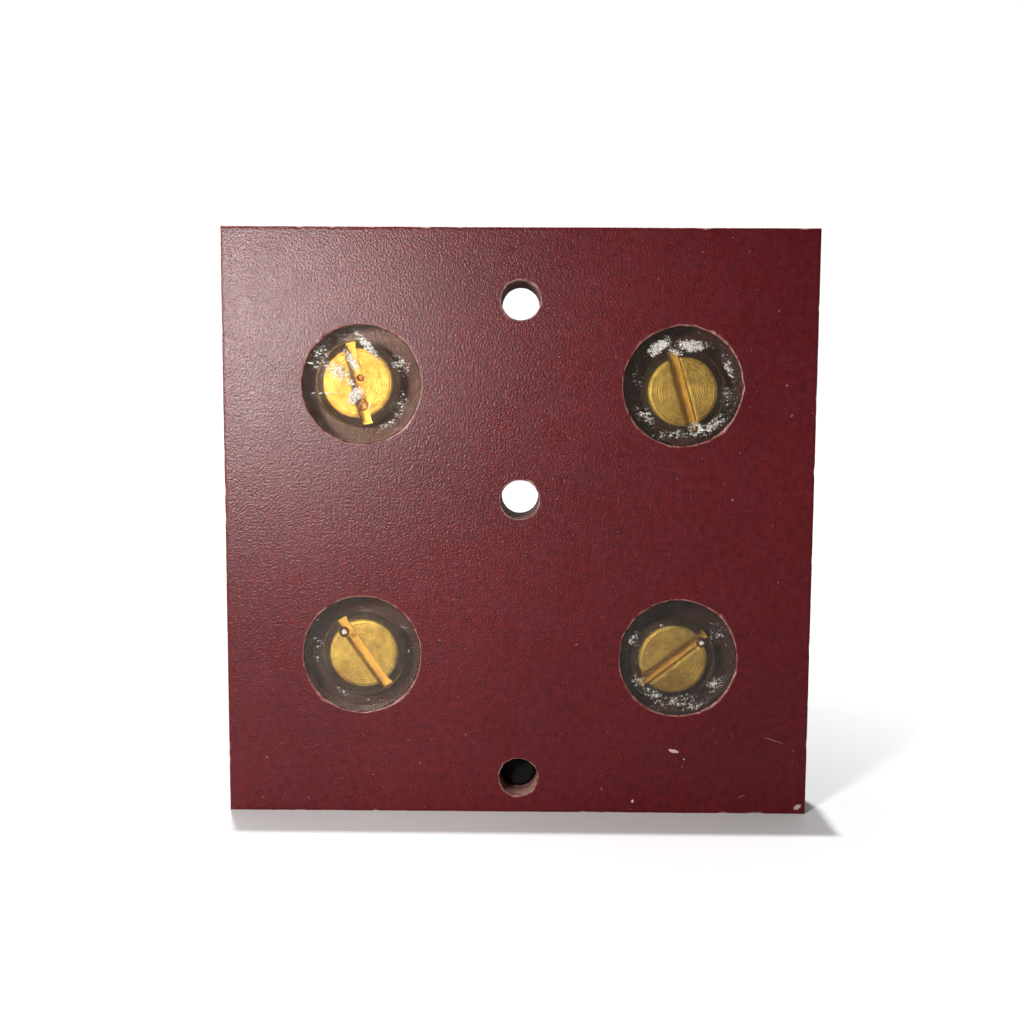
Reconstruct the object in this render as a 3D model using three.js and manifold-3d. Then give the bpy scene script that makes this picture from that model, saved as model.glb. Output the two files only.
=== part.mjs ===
// A fuse box panel: a thick square board of maroon laminate that carries two cartridge fuses.
// Four brass studs go in from the back, and their heads lie in counterbores filled with potting resin.
// On the front, each stud clamps a terminal bar and a spring fuse clip under a washer, a lock washer
// and a nut.
// Millimetres. The origin is the middle of the board's back face, +Y points out of the front, +Z is up.

import * as THREE from "three";
import { mergeVertices } from "three/addons/utils/BufferGeometryUtils.js";
import Module from "manifold-3d";

const wasm = await Module();
wasm.setup();

// ---------- driving dimensions ----------

const seat = 0.1; // the play left between two faces that rest on each other

const board = { side: 127, thickness: 15.9 };
const well = { radius: 12.7, depth: 7.5 };
const fixingHole = { radius: 4.15, x: 0.25, z: { top: 48.2, middle: 5.7, bottom: -55.6 } };

// The four studs, in two columns. A well is drilled by hand, so it isn't quite centred on its stud.
const studs = [
  { name: "upper_left", column: "left", out: 1, x: -34.8, z: 30.6, well: [-33.8, 30.3], slotAngle: -78 },
  { name: "upper_right", column: "right", out: 1, x: 35.1, z: 29.1, well: [34.9, 30.2], slotAngle: -74 },
  { name: "lower_left", column: "left", out: -1, x: -33.8, z: -28.4, well: [-34.1, -28.4], slotAngle: -55 },
  { name: "lower_right", column: "right", out: -1, x: 34.0, z: -29.3, well: [34.9, -28.8], slotAngle: 38 },
];
const columns = { left: { x: -34.3, z: 1.1 }, right: { x: 34.55, z: -0.1 } }; // the middle of each fuse

const head = { topRadius: 7.35, radius: 9.15, height: 5.8, rim: 3.2, slotWidth: 2.3, slotDepth: 2.6 };
const shank = { radius: 4.7, chamfer: 0.8, beyondNut: 1.6 };
const studBoreRadius = 4.95;
const potting = { recess: 0.15, sideGap: 0.1 };

const bar = { width: 19.05, thickness: 3.2, inner: 9.5, outer: 27, corner: 3, screwAt: 20 };
const clip = { width: 15.9, sheet: 1.2, baseHalf: 13.2, bend: 2, wallTop: 8, hole: 5.6 };
const jaw = { play: 0.25, startAngle: -38, waistPull: 3 };
const lip = { out: 2.6, rise: 6.2 };
const flatWasher = { radius: 10.3, hole: 5.15, thickness: 1.6 };
const lockWasher = { radius: 8.6, hole: 5.0, thickness: 2.4, gapDegrees: 9 };
const nut = { acrossFlats: 14.3, hole: 4.95, thickness: 5.6 };

const bindingScrew = { headRadius: 4.75, headHeight: 3.2, radius: 2.3, length: 9.5 };
const bindingSlot = { width: 1.3, depth: 1.5 };
const clampWasher = { side: 11.1, thickness: 1.2, hole: 2.6 };
const screwHoleRadius = 2.5;
const screwTipHole = { radius: 3.2, depth: 6 };

const fuse = { length: 76.2, radius: 10.3, capLength: 15.9, capWall: 0.8, capEnd: 1, airGap: 1 };
const fuseTube = { radius: 9.35, bore: 7.3 };
const link = { width: 6.4, thickness: 0.8, neck: 2.2, neckLength: 5, necks: [-16, 0, 16] };
const filler = { radius: 7.15, slotWidth: 7.2, slotThickness: 1.4, endGap: 2 };

const post = { radius: 7, length: 38.1, spigotRadius: 4.05, spigotTip: 5.6, chamfer: 0.6 };
const insert = { radius: 3, hole: 2.1, length: 9.5, pocketRadius: 3.1, pocketDepth: 10 };

// The number of sides of round pieces, by size.
const wellSides = 32;
const midSides = 24;
const smallSides = 16;
const tinySides = 12;

// ---------- heights above the back face, worked out from the stack on each stud ----------

const barBack = board.thickness + seat;
const barFront = barBack + bar.thickness;
const clipBack = barFront + seat;
const clipFloor = clipBack + clip.sheet;
const washerBack = clipFloor + seat;
const lockBack = washerBack + flatWasher.thickness + seat;
const nutBack = lockBack + lockWasher.thickness + seat;
const studEnd = nutBack + nut.thickness + shank.beyondNut;
const fuseAxis = studEnd + fuse.airGap + fuse.radius;
const headTop = well.depth - seat - head.height;

// ---------- materials ----------

function paint(color, roughness, metalness) {
  return new THREE.MeshStandardMaterial({ color, roughness, metalness });
}

const finishes = {
  laminate: () => paint(0x5c1a1f, 0.45, 0),
  resin: () => paint(0x6b4a22, 0.15, 0),
  studBrass: () => paint(0xb58a2c, 0.35, 1),
  clipBrass: () => paint(0xb08d4a, 0.4, 1),
  barBrass: () => paint(0xa8823a, 0.45, 1),
  steel: () => paint(0x9a9a98, 0.4, 1),
  capBrass: () => paint(0xc09a52, 0.3, 1),
  fibre: () => paint(0x3d4a3a, 0.7, 0),
  zinc: () => paint(0x9fa3a6, 0.4, 1),
  sand: () => paint(0xcbbf9f, 0.95, 0),
  blackMoulding: () => paint(0x0c0c0c, 0.5, 0),
};

// ---------- solids ----------

// A closed geometry as a solid that can be joined and cut.
function solidOf(geometry) {
  const bare = geometry.clone();
  bare.deleteAttribute("normal");
  bare.deleteAttribute("uv");
  const merged = mergeVertices(bare, 1e-4);
  return new wasm.Manifold(
    new wasm.Mesh({
      numProp: 3,
      vertProperties: merged.attributes.position.array,
      triVerts: new Uint32Array(merged.index.array),
    }),
  );
}

// A solid as a geometry with flat faces.
function geometryOf(solid) {
  const mesh = solid.getMesh();
  const indexed = new THREE.BufferGeometry();
  indexed.setAttribute("position", new THREE.BufferAttribute(new Float32Array(mesh.vertProperties), 3));
  indexed.setIndex(new THREE.BufferAttribute(new Uint32Array(mesh.triVerts), 1));
  const flat = indexed.toNonIndexed();
  flat.computeVertexNormals();
  return flat;
}

function cut(geometry, ...tools) {
  return geometryOf(tools.reduce((solid, tool) => solid.subtract(solidOf(tool)), solidOf(geometry)));
}

// A round rod along Y, from one height to another, at a place on the board.
function rod(radius, low, high, sides, x = 0, z = 0) {
  return new THREE.CylinderGeometry(radius, radius, high - low, sides).translate(x, (low + high) / 2, z);
}

function block(width, height, depth, x, y, z) {
  return new THREE.BoxGeometry(width, height, depth).translate(x, y, z);
}

// A profile of [radius, height] points turned about Y. It runs upwards along its outside.
function turned(profile, sides) {
  return new THREE.LatheGeometry(profile.map(([r, y]) => new THREE.Vector2(r, y)), sides);
}

// A washer: a ring about Y, from one height to another.
function ring(hole, radius, low, high, sides) {
  return turned([[hole, low], [radius, low], [radius, high], [hole, high], [hole, low]], sides);
}

// A flat plate: an outline in the XZ plane, between two heights.
function plate(shape, low, high, curveSegments) {
  const depth = high - low;
  const geometry = new THREE.ExtrudeGeometry(shape, { depth, bevelEnabled: false, curveSegments });
  return geometry.rotateX(-Math.PI / 2).translate(0, low, 0);
}

// The outline of a sheet strip that follows a path, as wide as the sheet is thick.
function stripOutline(path, thickness) {
  const points = path.getPoints().filter((p, i, all) => i === 0 || p.distanceTo(all[i - 1]) > 0.05);
  const side = (sign) => points.map((p, i) => {
    const before = points[Math.max(i - 1, 0)];
    const after = points[Math.min(i + 1, points.length - 1)];
    const along = after.clone().sub(before).normalize();
    return new THREE.Vector2(p.x - sign * along.y * thickness / 2, p.y + sign * along.x * thickness / 2);
  });
  return new THREE.Shape([...side(-1), ...side(1).reverse()]);
}

// ---------- the board and what is set into its back ----------

// The laminate board: a counterbore and a bore for each stud, three fixing holes on the centre line, and a
// blind hole in the front behind each binding screw.
function baseBoardGeometry() {
  const slab = block(board.side, board.thickness, board.side, 0, board.thickness / 2, 0);
  const wells = studs.map((s) => rod(well.radius, -1, well.depth, wellSides, ...s.well));
  const bores = studs.map((s) => rod(studBoreRadius, 1, board.thickness + 1, smallSides, s.x, s.z));
  const fixings = Object.values(fixingHole.z).map((z) =>
    rod(fixingHole.radius, -1, board.thickness + 1, midSides, fixingHole.x, z));
  const tipFloor = board.thickness - screwTipHole.depth;
  const tipHoles = studs.map((s) =>
    rod(screwTipHole.radius, tipFloor, board.thickness + 1, tinySides, ...screwPlace(s)));
  return cut(slab, ...wells, ...bores, ...fixings, ...tipHoles);
}

// A stud: a slotted pan head with a flat top and a steep flank, on a plain shank.
function studGeometry() {
  const under = well.depth - seat;
  const body = turned([
    [0, headTop],
    [head.topRadius, headTop],
    [head.radius, under - head.rim],
    [head.radius, under],
    [shank.radius, under],
    [shank.radius, studEnd - shank.chamfer],
    [shank.radius - shank.chamfer, studEnd],
    [0, studEnd],
  ], midSides);
  const slot = block(2.2 * head.radius, 2 * head.slotDepth, head.slotWidth, 0, headTop, 0);
  return cut(body, slot);
}

// A potting plug: the resin that fills a counterbore, with the room that the stud's head takes. The plug is
// centred on its well, so the head's pocket is a little off its middle.
function pottingGeometry(s) {
  const fill = rod(well.radius - potting.sideGap, potting.recess, well.depth - seat, wellSides);
  const pocketRadius = head.radius + 3 * seat;
  const pocket = rod(
    pocketRadius, headTop - seat, well.depth + 1, midSides, s.x - s.well[0], s.z - s.well[1]);
  return cut(fill, pocket);
}

// ---------- the stack on each stud ----------

// The terminal bar: a flat bar with cut corners, a hole for the stud and one for the binding screw.
function terminalBarGeometry(out) {
  const half = bar.width / 2;
  const low = out > 0 ? -bar.outer : -bar.inner; // the outline's +Y becomes -Z when it is laid flat
  const high = low + bar.inner + bar.outer;
  const cornerCut = bar.corner;
  const shape = new THREE.Shape([
    new THREE.Vector2(-half + cornerCut, low),
    new THREE.Vector2(half - cornerCut, low),
    new THREE.Vector2(half, low + cornerCut),
    new THREE.Vector2(half, high - cornerCut),
    new THREE.Vector2(half - cornerCut, high),
    new THREE.Vector2(-half + cornerCut, high),
    new THREE.Vector2(-half, high - cornerCut),
    new THREE.Vector2(-half, low + cornerCut),
  ]);
  const studHole = new THREE.Path().absarc(0, 0, clip.hole, 0, 2 * Math.PI, true);
  const screwHole = new THREE.Path().absarc(0, -out * bar.screwAt, screwHoleRadius, 0, 2 * Math.PI, true);
  shape.holes.push(studHole, screwHole);
  return plate(shape, barBack, barFront, smallSides / 2);
}

// The fuse clip: a bent strip. Each wall rises from the base, curves in to a waist under the ferrule, follows
// the ferrule round to its widest point, and ends in a lip that leads the fuse in.
function fuseClipGeometry() {
  const y = clipBack + clip.sheet / 2;
  const grip = fuse.radius + jaw.play + clip.sheet / 2;
  const start = THREE.MathUtils.degToRad(jaw.startAngle);
  const waist = [grip * Math.cos(start), fuseAxis + grip * Math.sin(start)];
  const leadIn = [waist[0] + jaw.waistPull * Math.sin(start), waist[1] - jaw.waistPull * Math.cos(start)];
  const wallTop = y + clip.wallTop;
  const right = new THREE.Path();
  right.moveTo(clip.baseHalf - clip.bend, y);
  right.absarc(clip.baseHalf - clip.bend, y + clip.bend, clip.bend, -Math.PI / 2, 0, false);
  right.lineTo(clip.baseHalf, wallTop);
  right.bezierCurveTo(clip.baseHalf, wallTop + 2 * jaw.waistPull, ...leadIn, ...waist);
  right.absarc(0, fuseAxis, grip, start, 0, false);
  right.quadraticCurveTo(grip, fuseAxis + lip.rise / 2, grip + lip.out, fuseAxis + lip.rise);
  const half = right.getPoints(4);
  const mirrored = half.toReversed().map((p) => new THREE.Vector2(-p.x, p.y));
  const outline = new THREE.Path([...mirrored, ...half]);
  return new THREE.ExtrudeGeometry(stripOutline(outline, clip.sheet), {
    depth: clip.width,
    bevelEnabled: false,
  }).translate(0, 0, -clip.width / 2);
}

// A split lock washer: a ring with a narrow gap.
function lockWasherGeometry() {
  const half = THREE.MathUtils.degToRad(lockWasher.gapDegrees / 2);
  const shape = new THREE.Shape();
  shape.absarc(0, 0, lockWasher.radius, half, 2 * Math.PI - half, false);
  shape.absarc(0, 0, lockWasher.hole, 2 * Math.PI - half, half, true);
  return plate(shape, lockBack, lockBack + lockWasher.thickness, 9);
}

function nutGeometry() {
  const shape = new THREE.Shape();
  const corner = nut.acrossFlats / Math.sqrt(3);
  for (let i = 0; i < 6; i++) {
    const angle = (i * Math.PI) / 3;
    shape[i ? "lineTo" : "moveTo"](corner * Math.cos(angle), corner * Math.sin(angle));
  }
  shape.holes.push(new THREE.Path().absarc(0, 0, nut.hole, 0, 2 * Math.PI, true));
  return plate(shape, nutBack, nutBack + nut.thickness, smallSides / 2);
}

// ---------- the wire terminals ----------

function screwPlace(s) {
  return [columns[s.column].x, s.z + s.out * bar.screwAt];
}

// The binding screw: a slotted pan head on a plain shank that runs through the bar.
function bindingScrewGeometry() {
  const under = barFront + 2 * seat + clampWasher.thickness;
  const top = under + bindingScrew.headHeight;
  const tip = under - bindingScrew.length;
  const body = turned([
    [0, tip],
    [bindingScrew.radius - 0.5, tip],
    [bindingScrew.radius, tip + 0.5],
    [bindingScrew.radius, under],
    [bindingScrew.headRadius, under],
    [bindingScrew.headRadius, top - 1],
    [bindingScrew.headRadius - 1, top],
    [0, top],
  ], smallSides);
  const slot = block(2.2 * bindingScrew.headRadius, 2 * bindingSlot.depth, bindingSlot.width, 0, top, 0);
  return cut(body, slot);
}

// The clamp washer: a square plate that presses the wire on the bar.
function clampWasherGeometry() {
  const back = barFront + seat;
  const square = block(
    clampWasher.side, clampWasher.thickness, clampWasher.side, 0, back + clampWasher.thickness / 2, 0);
  return cut(square, rod(clampWasher.hole, back - 1, back + clampWasher.thickness + 1, tinySides));
}

// ---------- the fuses, each built about its own middle, along Z ----------

// A profile of [radius, height] points turned about Z.
function turnedAlongZ(profile, sides) {
  return turned(profile, sides).rotateX(Math.PI / 2);
}

function fuseTubeGeometry() {
  const half = fuse.length / 2 - fuse.capEnd - seat;
  const profile = [[fuseTube.bore, -half], [fuseTube.radius, -half], [fuseTube.radius, half]];
  return turnedAlongZ([...profile, [fuseTube.bore, half], [fuseTube.bore, -half]], midSides);
}

// An end cap: a cup drawn from sheet, its closed end outwards.
function fuseCapGeometry() {
  const inner = fuse.radius - fuse.capWall;
  return turnedAlongZ([
    [0, 0],
    [fuse.radius - 0.6, 0],
    [fuse.radius, 0.6],
    [fuse.radius, fuse.capLength],
    [inner, fuse.capLength],
    [inner, fuse.capEnd],
    [0, fuse.capEnd],
  ], midSides);
}

// The fusible link: a flat strip with narrow necks, where it melts.
function fuseLinkGeometry() {
  const half = fuse.length / 2 - fuse.capEnd - seat;
  const strip = block(link.width, link.thickness, 2 * half, 0, 0, 0);
  const notchWidth = (link.width - link.neck) / 2;
  const notches = link.necks.flatMap((z) => [-1, 1].map((side) =>
    block(notchWidth, 2, link.neckLength, (side * (link.width + link.neck)) / 4 + side * 0.01, 0, z)));
  return cut(strip, ...notches);
}

// The filler: a plug of sand in the tube, with room for the link through its middle.
function fuseFillerGeometry() {
  const length = fuse.length - 2 * (fuse.capEnd + filler.endGap);
  const plug = new THREE.CylinderGeometry(filler.radius, filler.radius, length, smallSides);
  return cut(plug.rotateX(Math.PI / 2), block(filler.slotWidth, filler.slotThickness, length + 2, 0, 0, 0));
}

// ---------- the cover post ----------

// A black moulded post that stands on the front, its spigot driven into the lowest fixing hole.
function coverPostGeometry() {
  const foot = board.thickness + seat;
  const end = foot + post.length;
  return turned([
    [0, post.spigotTip],
    [post.spigotRadius - post.chamfer, post.spigotTip],
    [post.spigotRadius, post.spigotTip + post.chamfer],
    [post.spigotRadius, foot],
    [post.radius, foot],
    [post.radius, end - post.chamfer],
    [post.radius - post.chamfer, end],
    [insert.pocketRadius, end],
    [insert.pocketRadius, end - insert.pocketDepth],
    [0, end - insert.pocketDepth],
  ], smallSides);
}

function postInsertGeometry() {
  const end = board.thickness + seat + post.length;
  return ring(insert.hole, insert.radius, end - insert.length, end, smallSides);
}

// ---------- the assembly ----------

const panel = new THREE.Group();

function add(parent, name, geometry, finish, x = 0, y = 0, z = 0) {
  const mesh = new THREE.Mesh(geometry, finishes[finish]());
  mesh.name = name;
  mesh.position.set(x, y, z);
  parent.add(mesh);
  return mesh;
}

add(panel, "base_board", baseBoardGeometry(), "laminate");

for (const s of studs) {
  const column = columns[s.column];
  const stud = add(panel, `stud_${s.name}`, studGeometry(), "studBrass", s.x, 0, s.z);
  stud.rotation.y = THREE.MathUtils.degToRad(-s.slotAngle);
  add(panel, `potting_plug_${s.name}`, pottingGeometry(s), "resin", s.well[0], 0, s.well[1]);
  add(panel, `terminal_bar_${s.name}`, terminalBarGeometry(s.out), "barBrass", column.x, 0, s.z);
  const clipHole = rod(clip.hole, clipBack - 1, clipFloor + 1, smallSides);
  add(panel, `fuse_clip_${s.name}`, cut(fuseClipGeometry(), clipHole), "clipBrass", column.x, 0, s.z);
  const washerFront = washerBack + flatWasher.thickness;
  const washer = ring(flatWasher.hole, flatWasher.radius, washerBack, washerFront, midSides);
  add(panel, `flat_washer_${s.name}`, washer, "steel", s.x, 0, s.z);
  const lock = add(panel, `lock_washer_${s.name}`, lockWasherGeometry(), "steel", s.x, 0, s.z);
  lock.rotation.y = THREE.MathUtils.degToRad(s.slotAngle);
  const hex = add(panel, `stud_nut_${s.name}`, nutGeometry(), "studBrass", s.x, 0, s.z);
  hex.rotation.y = THREE.MathUtils.degToRad(s.slotAngle / 3);

  const [screwX, screwZ] = screwPlace(s);
  add(panel, `clamp_washer_${s.name}`, clampWasherGeometry(), "steel", screwX, 0, screwZ);
  const screw = add(panel, `binding_screw_${s.name}`, bindingScrewGeometry(), "clipBrass", screwX, 0, screwZ);
  screw.rotation.y = THREE.MathUtils.degToRad(s.slotAngle / 2);
}

for (const [side, place] of Object.entries(columns)) {
  const cartridge = new THREE.Group();
  cartridge.position.set(place.x, fuseAxis, place.z);
  panel.add(cartridge);
  add(cartridge, `fuse_tube_${side}`, fuseTubeGeometry(), "fibre");
  add(cartridge, `fuse_cap_lower_${side}`, fuseCapGeometry(), "capBrass", 0, 0, -fuse.length / 2);
  const upperCap = add(cartridge, `fuse_cap_upper_${side}`, fuseCapGeometry(), "capBrass");
  upperCap.position.z = fuse.length / 2;
  upperCap.rotation.x = Math.PI;
  add(cartridge, `fuse_link_${side}`, fuseLinkGeometry(), "zinc");
  add(cartridge, `fuse_filler_${side}`, fuseFillerGeometry(), "sand");
}

add(panel, "cover_post", coverPostGeometry(), "blackMoulding", fixingHole.x, 0, fixingHole.z.bottom);
add(panel, "cover_post_insert", postInsertGeometry(), "studBrass", fixingHole.x, 0, fixingHole.z.bottom);

export default panel;
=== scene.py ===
import bmesh
import bpy
import numpy as np
from mathutils import Euler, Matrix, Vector


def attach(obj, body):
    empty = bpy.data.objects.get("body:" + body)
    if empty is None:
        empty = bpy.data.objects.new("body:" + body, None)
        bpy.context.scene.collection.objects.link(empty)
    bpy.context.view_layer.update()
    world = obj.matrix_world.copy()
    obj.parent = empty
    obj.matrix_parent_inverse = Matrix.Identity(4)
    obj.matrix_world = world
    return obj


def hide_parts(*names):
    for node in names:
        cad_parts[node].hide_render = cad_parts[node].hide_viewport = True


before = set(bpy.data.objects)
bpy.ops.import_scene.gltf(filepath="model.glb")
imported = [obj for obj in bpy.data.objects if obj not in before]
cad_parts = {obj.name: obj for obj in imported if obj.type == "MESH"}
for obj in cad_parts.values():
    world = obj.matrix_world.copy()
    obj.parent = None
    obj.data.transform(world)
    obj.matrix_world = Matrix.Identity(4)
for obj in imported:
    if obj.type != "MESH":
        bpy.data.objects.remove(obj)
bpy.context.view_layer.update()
mm = 0.001
upward = np.array([0, 1.0, 0])
print("frame loaded:", len(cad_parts), "nodes")


def cellsOf(index):
    # the four corners of each cell in a lattice of point numbers
    return np.stack([index[:-1, :-1], index[1:, :-1], index[1:, 1:], index[:-1, 1:]], -1)


def weave(grid, wrapRows=False, wrapColumns=True):
    # quads that join each point of a grid to the next row and the next column
    rows, columns = grid.shape[:2]
    index = np.arange(rows * columns).reshape(rows, columns)
    if wrapRows:
        index = np.vstack([index, index[:1]])
    if wrapColumns:
        index = np.hstack([index, index[:, :1]])
    return grid.reshape(-1, 3), cellsOf(index).reshape(-1, 4)


def fullTurn(count):
    return np.linspace(0, 2 * np.pi, count, endpoint=False)


def carried(radius, height, angle, x=0, z=0):
    # carried round an axis along Y that stands at x, z: x + r cos a, height, z + r sin a
    return np.stack(np.broadcast_arrays(x + radius * np.cos(angle), height, z + radius * np.sin(angle)), -1)


def pole(height, sides):
    # a row of coincident points on the axis, which closes a turned grid
    return np.broadcast_to([0.0, height, 0.0], (1, sides, 3))


def rounded(outline, radius, steps=4, closed=False):
    # each corner of a line becomes a quadratic bend between two points set back along its sides
    corner = np.asarray(outline, float)
    setBack = np.broadcast_to(np.asarray(radius, float).reshape(-1, 1), (len(corner), 1))

    def towards(other):
        gap = other - corner
        length = np.maximum(np.linalg.norm(gap, axis=1, keepdims=True), 1e-9)
        return corner + gap * np.minimum(setBack / length, 0.45)

    start, end = towards(np.roll(corner, 1, 0)), towards(np.roll(corner, -1, 0))
    t = np.linspace(0, 1, steps)[None, :, None]
    bends = (1 - t) ** 2 * start[:, None] + 2 * t * (1 - t) * corner[:, None] + t ** 2 * end[:, None]
    if closed:
        return bends.reshape(-1, 2)
    return np.vstack([corner[:1], bends[1:-1].reshape(-1, 2), corner[-1:]])


def densified(line, step):
    # points at an even spacing along a line of (radius, height), with its own corners kept
    gaps = np.linalg.norm(np.diff(line, axis=0), axis=1)
    along = np.concatenate([[0], np.cumsum(gaps)])
    even = np.arange(0, along[-1], step)
    where = np.unique(np.round(np.concatenate([along, even]), 4))
    return np.stack([np.interp(where, along, line[:, k]) for k in range(2)], 1)


def turned(profile, sides):
    return carried(profile[:, :1], profile[:, 1:], fullTurn(sides))


def placed(points, at=(0, 0), turn=0.0):
    # turned about Y so that local X points at that angle from X towards Z, then moved over the board
    c, s = np.cos(np.radians(turn)), np.sin(np.radians(turn))
    x, y, z = points[..., 0], points[..., 1], points[..., 2]
    return np.stack([at[0] + c * x - s * z, y, at[1] + s * x + c * z], -1)


def wander(angle, reach, waves, seed):
    # an uneven periodic line: a sum of cosines with random phases, weaker as they get shorter
    draw = np.random.default_rng(seed)
    k = np.arange(1, waves + 1)[:, None]
    size = draw.uniform(0.3, 1, (waves, 1)) / k ** 0.5
    line = (size * np.cos(k * angle + draw.uniform(0, 2 * np.pi, (waves, 1)))).sum(0)
    return reach * line / np.abs(line).max()


def nicks(count, many, depth, width, seed):
    # chips in an edge: narrow bumps of random depth at random places round a closed line
    draw = np.random.default_rng(seed)
    place = np.arange(count)[None, :]
    middle = draw.uniform(0, count, (many, 1))
    gap = np.abs(place - middle)
    gap = np.minimum(gap, count - gap)
    size = depth * draw.uniform(0.15, 1, (many, 1)) ** 2
    return (size * np.exp(-(gap / (width * draw.uniform(0.5, 1.6, (many, 1)))) ** 2)).max(0)


def woven(name, shells, marks=None):
    # one mesh from woven shells: coincident points are joined, and every face is turned outwards
    mesh = bpy.data.meshes.new(name)
    starts = np.cumsum([0] + [len(points) for points, quads in shells[:-1]])
    allPoints = np.vstack([points for points, quads in shells]) * mm
    allQuads = np.vstack([quads + start for (points, quads), start in zip(shells, starts)])
    mesh.from_pydata(allPoints.tolist(), [], allQuads.tolist())
    for mark, values in (marks or {}).items():
        mesh.attributes.new(mark, "FLOAT", "POINT").data.foreach_set("value", values.astype(np.float32))
    work = bmesh.new()
    work.from_mesh(mesh)
    bmesh.ops.remove_doubles(work, verts=work.verts, dist=2e-7)
    bmesh.ops.delete(work, geom=[v for v in work.verts if not v.link_faces], context="VERTS")
    bmesh.ops.recalc_face_normals(work, faces=work.faces)
    return mesh, work


def makePiece(name, shells, finish, body, node, smooth=38, marks=None, hollows=()):
    mesh, work = woven(name, shells, marks)
    if hollows:
        # a bubble is a wall that faces its own middle
        bubble, inner = woven(name + "_hollow", hollows)
        bmesh.ops.reverse_faces(inner, faces=inner.faces)
        inner.to_mesh(bubble)
        inner.free()
        work.from_mesh(bubble)
        bpy.data.meshes.remove(bubble)
    work.to_mesh(mesh)
    work.free()
    mesh.shade_smooth()
    mesh.set_sharp_from_angle(angle=np.radians(smooth))
    mesh.materials.append(finishes[finish])
    piece = bpy.data.objects.new(name, mesh)
    bpy.context.scene.collection.objects.link(piece)
    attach(piece, body)
    if node:
        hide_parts(node)


def addNode(tree, kind, inputs=None, **settings):
    made = tree.nodes.new(kind)
    for key, value in settings.items():
        setattr(made, key, value)
    for key, value in (inputs or {}).items():
        if isinstance(value, bpy.types.NodeSocket):
            tree.links.new(value, made.inputs[key])
        else:
            made.inputs[key].default_value = value
    return made


def calc(tree, operation, a, b=0.0, clamp=False):
    return addNode(tree, "ShaderNodeMath", {0: a, 1: b}, operation=operation, use_clamp=clamp).outputs[0]


def times(tree, a, b, clamp=False):
    return calc(tree, "MULTIPLY", a, b, clamp)


def plus(tree, a, b, clamp=False):
    return calc(tree, "ADD", a, b, clamp)


def blendColour(tree, amount, first, second, mode="MIX"):
    first, second = (tone + (1,) if isinstance(tone, tuple) else tone for tone in (first, second))
    return addNode(tree, "ShaderNodeMix", {0: amount, 6: first, 7: second}, data_type="RGBA",
                   blend_type=mode).outputs[2]


def spread(tree, value, low, high, outLow=0.0, outHigh=1.0):
    # a value's range from low to high becomes another range, and it is held inside it
    return addNode(tree, "ShaderNodeMapRange", {0: value, 1: low, 2: high, 3: outLow, 4: outHigh}).outputs[0]


def noise(tree, where, scale, detail, rough=0.5):
    return addNode(tree, "ShaderNodeTexNoise", {"Vector": where, "Scale": scale, "Detail": detail,
                                               "Roughness": rough}).outputs[0]


def mapped(tree, where, **inputs):
    return addNode(tree, "ShaderNodeMapping", {"Vector": where, **inputs}).outputs[0]


def cloud(tree, where, scale, detail=4.0, rough=0.55, stretch=(1, 1, 1), move=(0, 0, 0)):
    # noise in a piece's own space, in metres, drawn out by the stretch
    return noise(tree, mapped(tree, where, Scale=stretch, Location=move), scale, detail, rough)


def objectPlace(tree):
    return addNode(tree, "ShaderNodeTexCoord").outputs["Object"]


def markOf(tree, name):
    return addNode(tree, "ShaderNodeAttribute", attribute_name=name).outputs["Fac"]


def newFinish(name):
    finish = bpy.data.materials.new(name)
    finish.use_nodes = True
    tree = finish.node_tree
    return finish, tree, tree.nodes["Principled BSDF"]


def plug(tree, shader, colour=None, rough=None, height=None, strength=0.3, depth=0.0001, **constants):
    # what changes over the surface is linked, and what doesn't is set on the shader's own sockets
    if colour is not None:
        tree.links.new(colour, shader.inputs["Base Color"])
    if rough is not None:
        tree.links.new(rough, shader.inputs["Roughness"])
    if height is not None:
        bump = addNode(tree, "ShaderNodeBump", {"Height": height, "Strength": strength, "Distance": depth})
        tree.links.new(bump.outputs[0], shader.inputs["Normal"])
    for socket, value in constants.items():
        shader.inputs[socket.replace("_", " ")].default_value = value


def newGroup(name, ins, outs):
    group = bpy.data.node_groups.new(name, "ShaderNodeTree")
    for label, kind, value in ins:
        socket = group.interface.new_socket(label, in_out="INPUT", socket_type=kind)
        if value is not None:
            socket.default_value = value
    for label, kind in outs:
        group.interface.new_socket(label, in_out="OUTPUT", socket_type=kind)
    return group, group.nodes.new("NodeGroupInput"), group.nodes.new("NodeGroupOutput")


def useGroup(tree, group, inputs):
    return addNode(tree, "ShaderNodeGroup", inputs, node_tree=group)


# tarnish: two noises, one broad and one fine, give a stain mask, a fine grain and a smudge for roughness
tarnish, into, out = newGroup(
    "tarnish",
    [("Vector", "NodeSocketVector", None), ("Patch", "NodeSocketFloat", 180.0),
     ("Amount", "NodeSocketFloat", 0.5)],
    [("Stain", "NodeSocketFloat"), ("Grain", "NodeSocketFloat"), ("Smudge", "NodeSocketFloat")])
place = into.outputs["Vector"]
broad, fine = noise(tarnish, place, into.outputs["Patch"], 5.0, 0.62), noise(tarnish, place, 2600.0, 3.0)
edge = calc(tarnish, "SUBTRACT", 0.75, times(tarnish, into.outputs["Amount"], 0.5))
stain = spread(tarnish, plus(tarnish, broad, times(tarnish, fine, 0.12)), edge, 0.85)
tarnish.links.new(stain, out.inputs["Stain"])
tarnish.links.new(fine, out.inputs["Grain"])
tarnish.links.new(noise(tarnish, place, 420.0, 4.0), out.inputs["Smudge"])

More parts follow.
